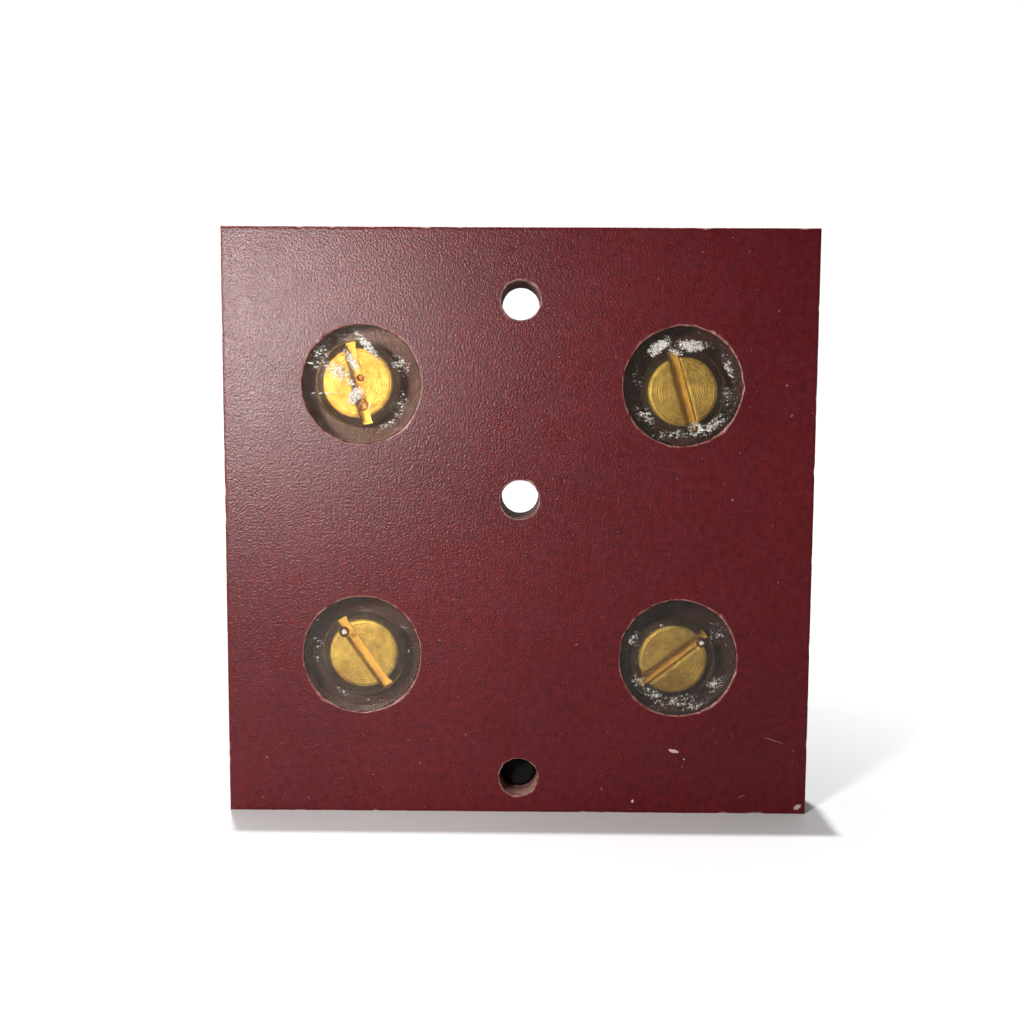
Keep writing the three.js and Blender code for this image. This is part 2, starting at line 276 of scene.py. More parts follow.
# toolRings: the distance from the piece's axis, folded into fine circles with an uneven strength
toolRings, into, out = newGroup(
    "toolRings", [("Distance", "NodeSocketFloat", 0.0), ("Pitch", "NodeSocketFloat", 0.25)],
    [("Ring", "NodeSocketFloat")])
turns = calc(toolRings, "DIVIDE", into.outputs["Distance"], into.outputs["Pitch"])
wave = calc(toolRings, "SINE", times(toolRings, turns, 6.2832))
uneven = addNode(toolRings, "ShaderNodeTexNoise", {"W": into.outputs["Distance"], "Scale": 2.3,
                                                   "Detail": 3.0},
                 noise_dimensions="1D").outputs[0]
lifted = plus(toolRings, times(toolRings, wave, 0.25), 0.5)
toolRings.links.new(times(toolRings, lifted, uneven), out.inputs["Ring"])

# fineGrain: a pebbled height and its own soft mask, for moulded and fibre pieces
fineGrain, into, out = newGroup(
    "fineGrain", [("Vector", "NodeSocketVector", None), ("Scale", "NodeSocketFloat", 1800.0)],
    [("Height", "NodeSocketFloat"), ("Mottle", "NodeSocketFloat")])
place = into.outputs["Vector"]
fineGrain.links.new(noise(fineGrain, place, into.outputs["Scale"], 2.0), out.inputs["Height"])
fineGrain.links.new(noise(fineGrain, place, 90.0, 5.0), out.inputs["Mottle"])


def bandColour(tree, colour, toneAndShadeBands):
    # bands of another tone between two depths along Y, in millimetres, weaker near the piece's axis; on the
    # studs they hold painted shade on the head's flank and painted light on the slot's floor
    depth = addNode(tree, "ShaderNodeSeparateXYZ", {0: objectPlace(tree)}).outputs["Y"]
    outwards = markOf(tree, "axisDistance")
    for near, far, tone, strength, inner in toneAndShadeBands:
        past, before = ((limit * mm, (limit + 0.15) * mm) for limit in (near, far))
        inside = times(tree, spread(tree, depth, *past), spread(tree, depth, *before, 1.0, 0.0))
        inside = times(tree, inside, spread(tree, outwards, 6.9, 7.4, inner, 1.0))
        colour = blendColour(tree, times(tree, inside, strength), colour, tone)
    return colour


def metalFinish(name, look):
    # metal: a base and a tarnish colour mixed by stains, duller in the stains, with tool rings and fine grain
    finish, tree, shader = newFinish(name)
    stains = useGroup(tree, tarnish, {"Vector": objectPlace(tree), "Patch": look["patch"],
                                      "Amount": look["amount"]})
    stain, smudge = stains.outputs["Stain"], stains.outputs["Smudge"]
    colour = blendColour(tree, stain, blendColour(tree, smudge, look["dark"], look["bright"]),
                         look["tarnish"])
    if "toneAndShadeBands" in look:
        colour = bandColour(tree, colour, look["toneAndShadeBands"])
    rough = plus(tree, spread(tree, smudge, 0.25, 0.75, *look["rough"]), times(tree, stain, 0.25), True)
    height = times(tree, stains.outputs["Grain"], look["grain"])
    if "rings" in look:
        ring = useGroup(tree, toolRings, {"Distance": markOf(tree, "axisDistance"), "Pitch": look["rings"]})
        height = plus(tree, height, times(tree, ring.outputs[0], 0.8))
    plug(tree, shader, colour, rough, height, look["bump"], look["depth"], Metallic=look.get("metallic", 1.0))
    return finish


metals = {
    "studBrass": {"bright": (0.80, 0.70, 0.16), "dark": (0.60, 0.50, 0.09), "tarnish": (0.36, 0.29, 0.06),
                  "patch": 620.0, "amount": 0.62, "rough": (0.38, 0.56), "grain": 0.8, "rings": 0.55,
                  "bump": 0.9, "depth": 0.00016, "metallic": 0.65,
                  # painted shade: the head's steep flank is painted nearly black; painted light: the slot's
                  # floor is painted bright gold, partly cleaner brass; the shank past the board gets another
                  # brass tone
                  "toneAndShadeBands": [(1.95, 3.95, (0.030, 0.020, 0.014), 0.95, 0.4),
                            (3.95, 4.6, (1.0, 0.74, 0.14), 0.95, 1.0),
                            (14, 60, (0.74, 0.56, 0.24), 0.9, 1.0)]},
    "barBrass": {"bright": (0.78, 0.60, 0.27), "dark": (0.60, 0.43, 0.17), "tarnish": (0.27, 0.18, 0.09),
                 "patch": 150.0, "amount": 0.45, "rough": (0.26, 0.5), "grain": 0.5, "bump": 0.35,
                 "depth": 0.00005},
    "springBrass": {"bright": (0.74, 0.56, 0.30), "dark": (0.55, 0.38, 0.19), "tarnish": (0.24, 0.14, 0.08),
                    "patch": 120.0, "amount": 0.5, "rough": (0.24, 0.46), "grain": 0.5, "bump": 0.3,
                    "depth": 0.00005},
    "platedSteel": {"bright": (0.66, 0.65, 0.62), "dark": (0.46, 0.46, 0.45), "tarnish": (0.22, 0.15, 0.10),
                    "patch": 260.0, "amount": 0.35, "rough": (0.25, 0.48), "grain": 0.6, "bump": 0.35,
                    "depth": 0.00005},
    "capBrass": {"bright": (0.83, 0.66, 0.33), "dark": (0.64, 0.47, 0.20), "tarnish": (0.30, 0.20, 0.10),
                 "patch": 110.0, "amount": 0.4, "rough": (0.18, 0.4), "grain": 0.35, "bump": 0.25,
                 "depth": 0.00005},
    "linkZinc": {"bright": (0.62, 0.63, 0.65), "dark": (0.44, 0.45, 0.47), "tarnish": (0.30, 0.30, 0.31),
                 "patch": 200.0, "amount": 0.5, "rough": (0.4, 0.6), "grain": 0.6, "bump": 0.3,
                 "depth": 0.00005},
}
finishes = {name: metalFinish(name, look) for name, look in metals.items()}


def clothColour(tree, place, look, threads, blotch):
    # clouds of deep and warm red, purple blotches, a darker mottle, pale threads and paler specks
    clouds = cloud(tree, place, 26.0, 5.0, 0.55)
    mottle = cloud(tree, place, 620.0, 4.0, 0.6, move=(0, 2, 1))
    speck = spread(tree, cloud(tree, place, 900.0, 1.0, 0.5, move=(1, 2, 3)), look["speckFrom"], 0.86)
    colour = blendColour(tree, spread(tree, clouds, 0.32, 0.68), look["deep"], look["warm"])
    colour = blendColour(tree, spread(tree, blotch, 0.35, 0.7, 0.0, 0.55), colour, look["purple"])
    colour = blendColour(tree, spread(tree, mottle, 0.36, 0.64, 0.42, 0.0), colour, look["deep"], "MULTIPLY")
    colour = blendColour(tree, times(tree, threads, look["threadTint"], True), colour, look["thread"])
    return blendColour(tree, times(tree, speck, 0.8), colour, look["speck"])


def cutColour(tree, place, look, colour, cut, bare):
    # worn rims are frayed, and the sawn edges and drilled walls show bare fibre
    rim = markOf(tree, "rim")
    frayed = times(tree, rim, spread(tree, cloud(tree, place, 600.0, 4.0, 0.7), 0.38, 0.62))
    colour = blendColour(tree, times(tree, rim, look["rimTint"]), colour, look["rim"])
    colour = blendColour(tree, times(tree, frayed, look["frayTint"], True), colour, look["frayed"])
    threadEnds = spread(tree, cloud(tree, place, 1.0, 3.0, 0.65, stretch=(1500, 5200, 1500)), 0.36, 0.70)
    colour = blendColour(tree, times(tree, bare, times(tree, threadEnds, 0.85)), colour, look["bare"])
    # the wells' walls and floors are painted nearly black, as painted shade of the deep wells: the mark is
    # below nought there
    return blendColour(tree, times(tree, cut, -1.0, True), colour, look["wellShade"])


def chipColour(tree, place, pebbles, colour, chip):
    # a chip or a scratch: an ellipse round its middle, turned to its direction, with a broken outline
    (x, z), (long, wide) = chip["at"], chip["size"]
    laid = mapped(tree, place, Location=(-x * mm, 0, -z * mm))
    laid = mapped(tree, laid, Rotation=(0, np.radians(chip["turn"]), 0))
    laid = mapped(tree, laid, Scale=(1 / (long * mm), 0, 1 / (wide * mm)))
    reach = addNode(tree, "ShaderNodeVectorMath", {0: laid}, operation="LENGTH").outputs["Value"]
    shape = spread(tree, plus(tree, reach, times(tree, pebbles, 0.9)), 1.5, 1.15)
    return blendColour(tree, times(tree, shape, chip["strength"]), colour, chip["colour"])


def laminateFinish(look):
    # red laminate: cloth under a fine pebbled gloss, with cut edges, chips and scratches
    finish, tree, shader = newFinish("laminate")
    place = objectPlace(tree)
    blotch = cloud(tree, place, 130.0, 4.0, 0.6, move=(0.3, 0, 0))
    fibre = cloud(tree, place, 1.0, 3.0, 0.6, stretch=(260, 260, 1500))
    weft = cloud(tree, place, 1.0, 3.0, 0.6, stretch=(1300, 300, 230), move=(5, 0, 0))
    threads = plus(tree, spread(tree, fibre, 0.35, 0.75), spread(tree, weft, 0.4, 0.8, 0.0, 0.6))
    pebbles = cloud(tree, place, 2050.0, 2.0, 0.65)
    cut = markOf(tree, "bare")
    bare = calc(tree, "MAXIMUM", cut, 0.0)
    colour = clothColour(tree, place, look, threads, blotch)
    colour = cutColour(tree, place, look, colour, cut, bare)
    for chip in look["chips"]:
        colour = chipColour(tree, place, pebbles, colour, chip)
    rough = plus(tree, spread(tree, blotch, 0.3, 0.7, *look["rough"]), times(tree, bare, 0.35), True)
    height = plus(tree, pebbles, times(tree, threads, 0.08))
    plug(tree, shader, colour, rough, height, look["bump"], look["depth"], Specular_IOR_Level=look["gloss"])
    return finish


laminateLook = {
    "deep": (0.102, 0.0055, 0.0085), "warm": (0.152, 0.0090, 0.0118), "purple": (0.114, 0.0085, 0.0165),
    "thread": (0.190, 0.0150, 0.0200), "threadTint": 0.20, "speck": (0.50, 0.28, 0.27), "speckFrom": 0.735,
    "rim": (0.30, 0.045, 0.038), "rimTint": 0.5, "frayed": (0.70, 0.47, 0.38), "frayTint": 0.8,
    "bare": (0.36, 0.24, 0.19), "rough": (0.31, 0.37), "bump": 0.85, "depth": 0.00013, "gloss": 0.42,
    # painted shade for the wells' walls and floors
    "wellShade": (0.030, 0.0062, 0.0080),
    "chips": [
        {"at": (34.3, -49.5), "size": (1.25, 0.42), "turn": -14, "strength": 0.95,
         "colour": (0.72, 0.44, 0.42)},
        {"at": (36.6, -51.3), "size": (0.22, 0.22), "turn": 0, "strength": 0.8, "colour": (0.60, 0.34, 0.32)},
        {"at": (56.3, -47.0), "size": (2.6, 0.09), "turn": -18, "strength": 0.6,
         "colour": (0.50, 0.24, 0.26)},
        {"at": (49.4, -59.6), "size": (1.1, 0.08), "turn": 24, "strength": 0.6, "colour": (0.50, 0.24, 0.26)},
        {"at": (25.4, -60.9), "size": (0.28, 0.42), "turn": 0, "strength": 0.95,
         "colour": (0.80, 0.55, 0.52)},
        {"at": (61.8, -61.9), "size": (1.0, 0.55), "turn": 30, "strength": 0.85,
         "colour": (0.62, 0.48, 0.44)},
    ],
}
finishes["laminate"] = laminateFinish(laminateLook)


def resinFinish(name, look):
    # potting resin: clear amber that bends light, with a clouded tint and a faint skin of fine scratches
    finish, tree, shader = newFinish("pottingResin_" + name)
    place = objectPlace(tree)
    smoke, dust = cloud(tree, place, 190.0, 5.0, 0.6), cloud(tree, place, 1300.0, 2.0, 0.6)
    scratch = cloud(tree, place, 1.0, 3.0, 0.7, stretch=(2400, 300, 420))
    colour = blendColour(tree, spread(tree, smoke, 0.3, 0.7), look["dark"], look["light"])
    rough = spread(tree, times(tree, plus(tree, smoke, dust), 0.5), 0.35, 0.7, *look["rough"])
    height = plus(tree, times(tree, smoke, 1.2), times(tree, scratch, 0.25))
    plug(tree, shader, colour, rough, height, 0.35, 0.00015, Transmission_Weight=look["clear"], IOR=1.52)
    # light reaches the brass through the resin: shadow rays pass it almost unhindered
    shadow = addNode(tree, "ShaderNodeLightPath").outputs["Is Shadow Ray"]
    solid = calc(tree, "SUBTRACT", 1.0, times(tree, shadow, look["lets"]))
    tree.links.new(solid, shader.inputs["Alpha"])
    return finish


# each well's resin has its own tint, clearest at the upper left and darkest at the lower right: painted light
# and shade that follow how the near lamp and the wells' walls light the four wells
resinLitAndShadedTints = {
    "upper_left": {"dark": (0.62, 0.40, 0.31), "light": (0.90, 0.74, 0.59)},
    "upper_right": {"dark": (0.40, 0.29, 0.25), "light": (0.57, 0.48, 0.39)},
    "lower_left": {"dark": (0.48, 0.34, 0.28), "light": (0.67, 0.56, 0.44)},
    "lower_right": {"dark": (0.37, 0.27, 0.25), "light": (0.54, 0.45, 0.37)},
}
resinBody = {"rough": (0.03, 0.16), "clear": 0.968, "lets": 0.9}
for name, tint in resinLitAndShadedTints.items():
    finishes["resin_" + name] = resinFinish(name, {**tint, **resinBody})


def frostFinish(look):
    # frosting on the resin: a pale film that shows where its own mark and a streaky noise are both strong
    finish, tree, shader = newFinish("resinFrost")
    place = objectPlace(tree)
    crumbs = cloud(tree, place, 1.0, 5.0, 0.74, stretch=(900, 900, 1500))
    flakes = cloud(tree, place, 3600.0, 3.0, 0.7, move=(4, 0, 1))
    body = plus(tree, spread(tree, crumbs, 0.3, 0.7, 0, 0.6), spread(tree, flakes, 0.3, 0.7, 0, 0.4))
    there = plus(tree, times(tree, markOf(tree, "frost"), look["spreadBy"]), body)
    alpha = times(tree, spread(tree, there, look["from"], look["full"]), look["cover"])
    colour = blendColour(tree, spread(tree, flakes, 0.35, 0.65), look["grey"], look["white"])
    plug(tree, shader, colour, None, body, 0.5, 0.0002, Roughness=0.55)
    tree.links.new(alpha, shader.inputs["Alpha"])
    return finish


frostLook = {"grey": (0.30, 0.27, 0.25), "white": (0.96, 0.93, 0.84), "spreadBy": 0.5, "from": 0.80,
             "full": 1.02, "cover": 0.95}
finishes["frost"] = frostFinish(frostLook)


def mouldedFinish(name, look):
    # moulded or wound pieces: two tones by a soft mottle, a pebbled surface, and specks of dust
    finish, tree, shader = newFinish(name)
    place = objectPlace(tree)
    grain = useGroup(tree, fineGrain, {"Vector": place, "Scale": look["grain"]})
    mottle, height = grain.outputs["Mottle"], grain.outputs["Height"]
    colour = blendColour(tree, spread(tree, mottle, 0.35, 0.65), look["dark"], look["bright"])
    if "wound" in look:
        wind = cloud(tree, place, 1.0, 3.0, 0.6, stretch=look["wound"])
        colour = blendColour(tree, spread(tree, wind, 0.4, 0.7, 0.0, 0.5), colour, look["thread"])
    dust = spread(tree, cloud(tree, place, 1400.0, 2.0, 0.6), 0.68, 0.84)
    colour = blendColour(tree, times(tree, dust, look["dust"]), colour, (0.45, 0.42, 0.38))
    rough = spread(tree, mottle, 0.3, 0.7, *look["rough"])
    plug(tree, shader, colour, rough, height, look["bump"], look["depth"], Specular_IOR_Level=look["gloss"])
    return finish


mouldings = {
    "blackMoulding": {"dark": (0.003, 0.003, 0.003), "bright": (0.007, 0.0065, 0.006), "grain": 1500.0,
                      "dust": 0.04, "rough": (0.42, 0.56), "bump": 0.3, "depth": 0.0001, "gloss": 0.16},
    "tubeFibre": {"dark": (0.055, 0.075, 0.05), "bright": (0.085, 0.11, 0.07), "grain": 1300.0, "dust": 0.12,
                  "wound": (350, 350, 2400), "thread": (0.13, 0.15, 0.10), "rough": (0.5, 0.7), "bump": 0.45,
                  "depth": 0.00012, "gloss": 0.5},
    "fillerSand": {"dark": (0.50, 0.43, 0.31), "bright": (0.72, 0.66, 0.52), "grain": 2200.0, "dust": 0.3,
                   "rough": (0.8, 0.95), "bump": 0.9, "depth": 0.0003, "gloss": 0.5},
}
finishes.update({name: mouldedFinish(name, look) for name, look in mouldings.items()})
print("finishes made:", len(finishes))


def squareLoop(half):
    # the lattice steps round a square window, in order
    run, far = np.arange(-half, half), np.full(2 * half, half)
    return np.concatenate([np.stack(pair, 1)
                           for pair in ((run, -far), (far, run), (-run, far), (-far, -run))])


def plateSide(plate, flat, loop):
    # rows of points down the plate's side: a worn edge, the cut wall, and the other worn edge
    nx, nz = plate["cells"]
    i, j = loop.T
    inward = np.stack([(i == 0) * 1.0 - (i == nx), 0.0 * i, (j == 0) * 1.0 - (j == nz)], 1)
    thick, count = plate["thickness"], len(loop)
    back, front, level = plate["worn"](count), plate["wornFront"](count), np.zeros(count)
    rows = [(back, level), (0.3 * back, 0.3 * back), (level, back)]
    rows += [(plate["ripple"](count, share), back + share * (thick - back - front))
             for share in plate["sideRows"]]
    rows += [(level, thick - front), (0.3 * front, thick - 0.3 * front), (front, level + thick)]
    return np.stack([flat[i, j] + inward * inset[:, None] + upward * y[:, None] for inset, y in rows])


def holeWall(hole, loops):
    # rings blend from a square window to the circle, then follow the hole's own rings to the other face
    rings = np.array([ring[:4] for ring in hole["rings"]])
    first, (x, z) = (loops[0], rings[0, :2]) if loops[0] is not None else (loops[1], rings[-1, :2])
    angle = np.arctan2(first[:, 2] - z, first[:, 0] - x)
    radius = rings[:, 2:3] + (hole["fray"](len(angle)) if "fray" in hole else 0)
    circle = carried(radius, rings[:, 3:4], angle, rings[:, :1], rings[:, 1:2])
    toCircle = np.array([0, 0.4, 0.75, 0.92])[:, None, None]
    parts, marks = [circle], [np.array([ring[4:6] for ring in hole["rings"]])]
    if loops[0] is not None:
        parts.insert(0, loops[0] + (circle[0] - loops[0]) * toCircle)
        marks.insert(0, np.zeros((4, 2)))
    if loops[1] is not None:
        parts.append((loops[1] + (circle[-1] - loops[1]) * toCircle)[::-1])
        marks.append(np.zeros((4, 2)))
    rim, bare = np.repeat(np.concatenate(marks), len(angle), 0).T
    return weave(np.vstack(parts)), rim, bare


def boredPlate(plate, holes):
    # a lattice on each face with a square window round each hole, the holes' walls, and the plate's side
    nx, nz = plate["cells"]
    x, z = np.linspace(*plate["x"], nx + 1), np.linspace(*plate["z"], nz + 1)
    flat = np.stack(np.broadcast_arrays(x[:, None], 0.0, z[None, :]), -1)
    a, b = np.arange(nx), np.arange(nz)
    loop = np.concatenate([np.stack(pair, 1) for pair in (
        (a, 0 * a), (0 * b + nx, b), (nx - a, 0 * a + nz), (0 * b, nz - b))])
    side = plateSide(plate, flat, loop)
    faces = [flat.copy(), flat + upward * plate["thickness"]]
    for face, edge in zip(faces, (side[0], side[-1])):
        face[loop[:, 0], loop[:, 1]] = edge
    keep = np.ones((2, nx, nz), bool)
    made = []
    for hole in holes:
        loops = [None, None]
        for k, (centre, half) in enumerate(zip((hole["rings"][0], hole["rings"][-1]), hole["window"])):
            if half:
                ci, cj = (int(round((at - line[0]) / (line[1] - line[0])))
                          for at, line in zip(centre, (x, z)))
                keep[k, ci - half:ci + half, cj - half:cj + half] = False
                steps = squareLoop(half)
                loops[k] = faces[k][ci + steps[:, 0], cj + steps[:, 1]]
        made.append(holeWall(hole, loops))
    quads = cellsOf(np.arange((nx + 1) * (nz + 1)).reshape(nx + 1, nz + 1))
    plain = np.zeros((nx + 1) * (nz + 1))
    made += [((face.reshape(-1, 3), quads[kept]), plain, plain) for face, kept in zip(faces, keep)]
    worn, cut = np.zeros(side.shape[:2]), np.zeros(side.shape[:2])
    worn[1:3], worn[-3:-1], cut[2:-2] = 1, 1, 1
    made.append((weave(side), worn.ravel(), cut.ravel()))
    shells, rims, bares = zip(*made)
    return list(shells), {"rim": np.concatenate(rims), "bare": np.concatenate(bares)}


studs = {
    "upper_left": {"at": (-34.8, 30.6), "well": (-33.8, 30.3), "slotAngle": -78, "out": 1, "column": "left"},
    "upper_right": {"at": (35.1, 29.1), "well": (34.9, 30.2), "slotAngle": -74, "out": 1, "column": "right"},
    "lower_left": {"at": (-33.8, -28.4), "well": (-34.1, -28.4), "slotAngle": -55, "out": -1,
                   "column": "left"},
    "lower_right": {"at": (34.0, -29.3), "well": (34.9, -28.8), "slotAngle": 38, "out": -1,
                    "column": "right"},
}
columns = {"left": (-34.3, 1.1), "right": (34.55, -0.1)}
screwReach = 20
board = {
    "side": 127, "thickness": 15.9, "cells": 150, "wellRadius": 12.7, "wellDepth": 7.5, "boreRadius": 4.95,
    "fixingRadius": 4.15, "fixingAcross": 0.25, "fixingHeights": (48.2, 5.7, -55.6), "tipHole": (3.2, 9.9),
    "wellWindow": (17, 17), "fixingWindow": (7, 7), "tipWindow": (0, 5), "chips": 0.55,
}


def screwPlace(place):
    # a stud's binding screw stands in its column, further out from the board's middle
    return columns[place["column"]][0], place["at"][1] + place["out"] * screwReach


def frayOf(seed, rings, reach, many, depth):
    # the first rings of a drilled hole are uneven and chipped, the deeper ones nearly true
    def fray(count):
        edge = wander(fullTurn(count), reach, 26, seed) + nicks(count, many, depth, 1.1, seed + 1)
        return np.array([ring[6] for ring in rings])[:, None] * edge
    return fray


def studHoles(k, place):
    # a well and its bore, and a blind hole for the binding screw's tip
    # each ring: x, z, radius, height, rim, bare, fray
    thick, deep, r, bore = board["thickness"], board["wellDepth"], board["wellRadius"], board["boreRadius"]
    (wx, wz), (sx, sz) = place["well"], place["at"]
    # a bare value below nought gives the well's wall and floor painted shade
    wellRings = [(wx, wz, r + 0.16, 0, 0.6, 0, 1), (wx, wz, r + 0.03, 0.12, 0.7, 0, 0.5),
                 (wx, wz, r, 0.5, 0.2, -0.7, 0.1), (wx, wz, r, 3, 0, -1, 0), (wx, wz, r, deep, 0, -1, 0),
                 (wx, wz, r - 0.6, deep, 0, -1, 0), (sx, sz, bore + 0.1, deep, 0, -1, 0),
                 (sx, sz, bore, deep + 0.3, 0, 1, 0), (sx, sz, bore, thick - 0.3, 0, 1, 0),
                 (sx, sz, bore + 0.15, thick, 0.6, 0, 0.6)]
    tip, floor = board["tipHole"]
    x, z = screwPlace(place)
    tipRings = [(x, z, 0, floor, 0, 0.6, 0), (x, z, tip * 0.6, floor, 0, 0.6, 0),
                (x, z, tip, floor + 0.2, 0, 0.8, 0),
                (x, z, tip, thick - 0.3, 0, 0.8, 0), (x, z, tip + 0.15, thick, 0.7, 0, 0.5)]
    return [{"rings": wellRings, "window": board["wellWindow"],
             "fray": frayOf(100 + 7 * k, wellRings, 0.13, 26, 0.38)},
            {"rings": tipRings, "window": board["tipWindow"],
             "fray": frayOf(200 + k, tipRings, 0.08, 5, 0.2)}]


def fixingHole(k, z):
    # both mouths are frayed, and the wall is bare drilled fibre
    x, r, thick = board["fixingAcross"], board["fixingRadius"], board["thickness"]
    rings = ([(x, z, r + 0.15, 0, 1, 0.1, 1), (x, z, r + 0.04, 0.25, 1, 0.7, 0.7)]
             + [(x, z, r, y, 0.9 * (y < 3), 1, 0.25) for y in np.linspace(0.9, thick - 0.7, 9)]
             + [(x, z, r + 0.05, thick - 0.25, 0.6, 1, 0.6), (x, z, r + 0.18, thick, 1, 0.3, 1)])
    return {"rings": rings, "window": board["fixingWindow"],
            "fray": frayOf(300 + 11 * k, rings, 0.12, 9, 0.3)}


def boardWear(seed, more):
    def worn(count):
        chips = nicks(count, 60, board["chips"] * more, 1.0, seed + 3)
        return np.clip(0.16 + wander(fullTurn(count), 0.07, 90, seed) + chips, 0.05, 0.9)
    return worn


def boardRipple(count, share):
    seed = int(10 * share)
    chips = nicks(count, 22, 0.25, 1.2, 950 + seed)
    return np.clip(wander(fullTurn(count), 0.06, 200, 900 + seed) + 0.05 + chips, 0, 0.4)


def makeBoard():
    half = board["side"] / 2
    holes = [hole for k, place in enumerate(studs.values()) for hole in studHoles(k, place)]
    holes += [fixingHole(k, z) for k, z in enumerate(board["fixingHeights"])]
    plate = {"cells": (board["cells"], board["cells"]), "x": (-half, half), "z": (-half, half),
             "thickness": board["thickness"], "worn": boardWear(11, 1.0), "wornFront": boardWear(17, 0.6),
             "sideRows": (0.04, 0.3, 0.6, 0.9), "ripple": boardRipple}
    shells, marks = boredPlate(plate, holes)
    makePiece("laminateBoard", shells, "laminate", "panel", "base_board", 50, marks)


makeBoard()
print("board made")


stud = {"topRadius": 7.35, "radius": 9.15, "top": 1.6, "under": 7.4, "slotWidth": 2.3, "slotDepth": 2.6,
        "shank": 4.7, "pitch": 1.5875, "threadDepth": 0.95, "end": 32.0, "chamfer": 0.9, "sides": 96,
        "shankSides": 48}


def threadedShank(screw, low, high, rowsPerTurn=10):
    # r = radius - depth + depth * saw(height / pitch - angle / turn), which fades out at the tip
    count = int(abs(high - low) / screw["pitch"] * rowsPerTurn) + 1
    height, angle = np.linspace(low, high, count)[:, None], fullTurn(screw["shankSides"])
    turn = (height / screw["pitch"] - angle / (2 * np.pi)) % 1
    saw = np.clip(np.abs(2 * turn - 1) * 1.3 - 0.12, 0, 1)
    toTip = np.clip(np.abs(high - height) / screw["chamfer"], 0, 1)
    r = screw["shank"] - screw["threadDepth"] + screw["threadDepth"] * saw * toTip - 0.25 * (1 - toTip)
    return np.concatenate([pole(low, len(angle)), carried(r, height, angle), pole(high, len(angle))])


def land(side, slotHalf, heights, radii, insets):
    # one side of a slotted head: an arc closed by the slot's wall, stacked by height; x runs along the slot
    arcSteps, wallSteps = 48, 18
    rows = []
    for y, radius, inset in zip(heights, radii, insets):
        r, wall = radius - inset, slotHalf + inset
        start = np.arcsin(min(wall / r, 0.999))
        arc = np.linspace(start, np.pi - start, arcSteps)
        chord = np.linspace(1, 0, wallSteps + 2)[1:-1]
        xs = np.concatenate([r * np.cos(arc), r * np.cos(np.pi - start) * (2 * chord - 1)])
        zs = np.concatenate([r * np.sin(arc), np.full(wallSteps, wall)])
        rows.append(np.stack([xs, np.full(len(xs), y), zs], 1))
    grid = np.stack(rows)
    middle = grid[-1].mean(0, keepdims=True)
    rings = [middle + (grid[-1] - middle) * s for s in (0.8, 0.55, 0.3, 0.0)]
    base = np.broadcast_to(grid[0].mean(0), grid[:1].shape)
    grid = np.concatenate([base, grid, np.stack(rings)])
    grid[..., 2] *= side
    return grid


def slottedHead(spec, floorY, topY, lower):
    # the head beside its slot: a land on each side, from the slot's floor to the eased top
    sign, ease, flank = np.sign(topY - floorY), spec["ease"], spec["flankY"]
    heights = [floorY - 0.05 * sign, floorY, *flank, topY - ease * sign, topY - 0.3 * ease * sign, topY]
    radii = [lower, lower, *spec["flankR"], spec["topRadius"] + 0.12 * ease, spec["topRadius"],
             spec["topRadius"]]
    insets = [0] * (len(flank) + 3) + [0.3 * ease, ease]
    return [land(side, spec["slotWidth"] / 2, heights, radii, insets) for side in (1, -1)]


def axisMark(shells, at):
    return np.concatenate([np.hypot(p[:, 0] - at[0], p[:, 2] - at[1]) for p, q in shells])


def makeStud(name, place):
    # the head under its slot's floor, a land on each side of the slot, and the threaded shank
    floorY, under, neck = stud["top"] + stud["slotDepth"], stud["under"], stud["shank"] - 0.2
    lower = densified(rounded([(0, floorY), (stud["radius"], floorY), (stud["radius"], under), (neck, under),
                               (neck, under + 0.4)], 0.25), 1.2)
    head = np.concatenate([turned(lower, stud["sides"]), pole(under + 0.4, stud["sides"])])
    lands = slottedHead({"slotWidth": stud["slotWidth"], "topRadius": stud["topRadius"], "ease": 0.35,
                         "flankY": [3.3, 2.4], "flankR": [8.75, 8.05]}, floorY, stud["top"], stud["radius"])
    grids = [head, *lands, threadedShank(stud, under - 0.1, stud["end"])]
    shells = [weave(placed(grid, place["at"], place["slotAngle"])) for grid in grids]
    makePiece("slottedStud_" + name, shells, "studBrass", "panel", "stud_" + name, 34,
              {"axisDistance": axisMark(shells, place["at"])})


for name, place in studs.items():
    makeStud(name, place)
print("studs made")


resin = {"radius": 12.62, "top": 0.15, "bottom": 7.38, "gap": 0.06, "sides": 176, "rows": 56, "swell": 0.035,
         "bubbleDepth": 0.92}
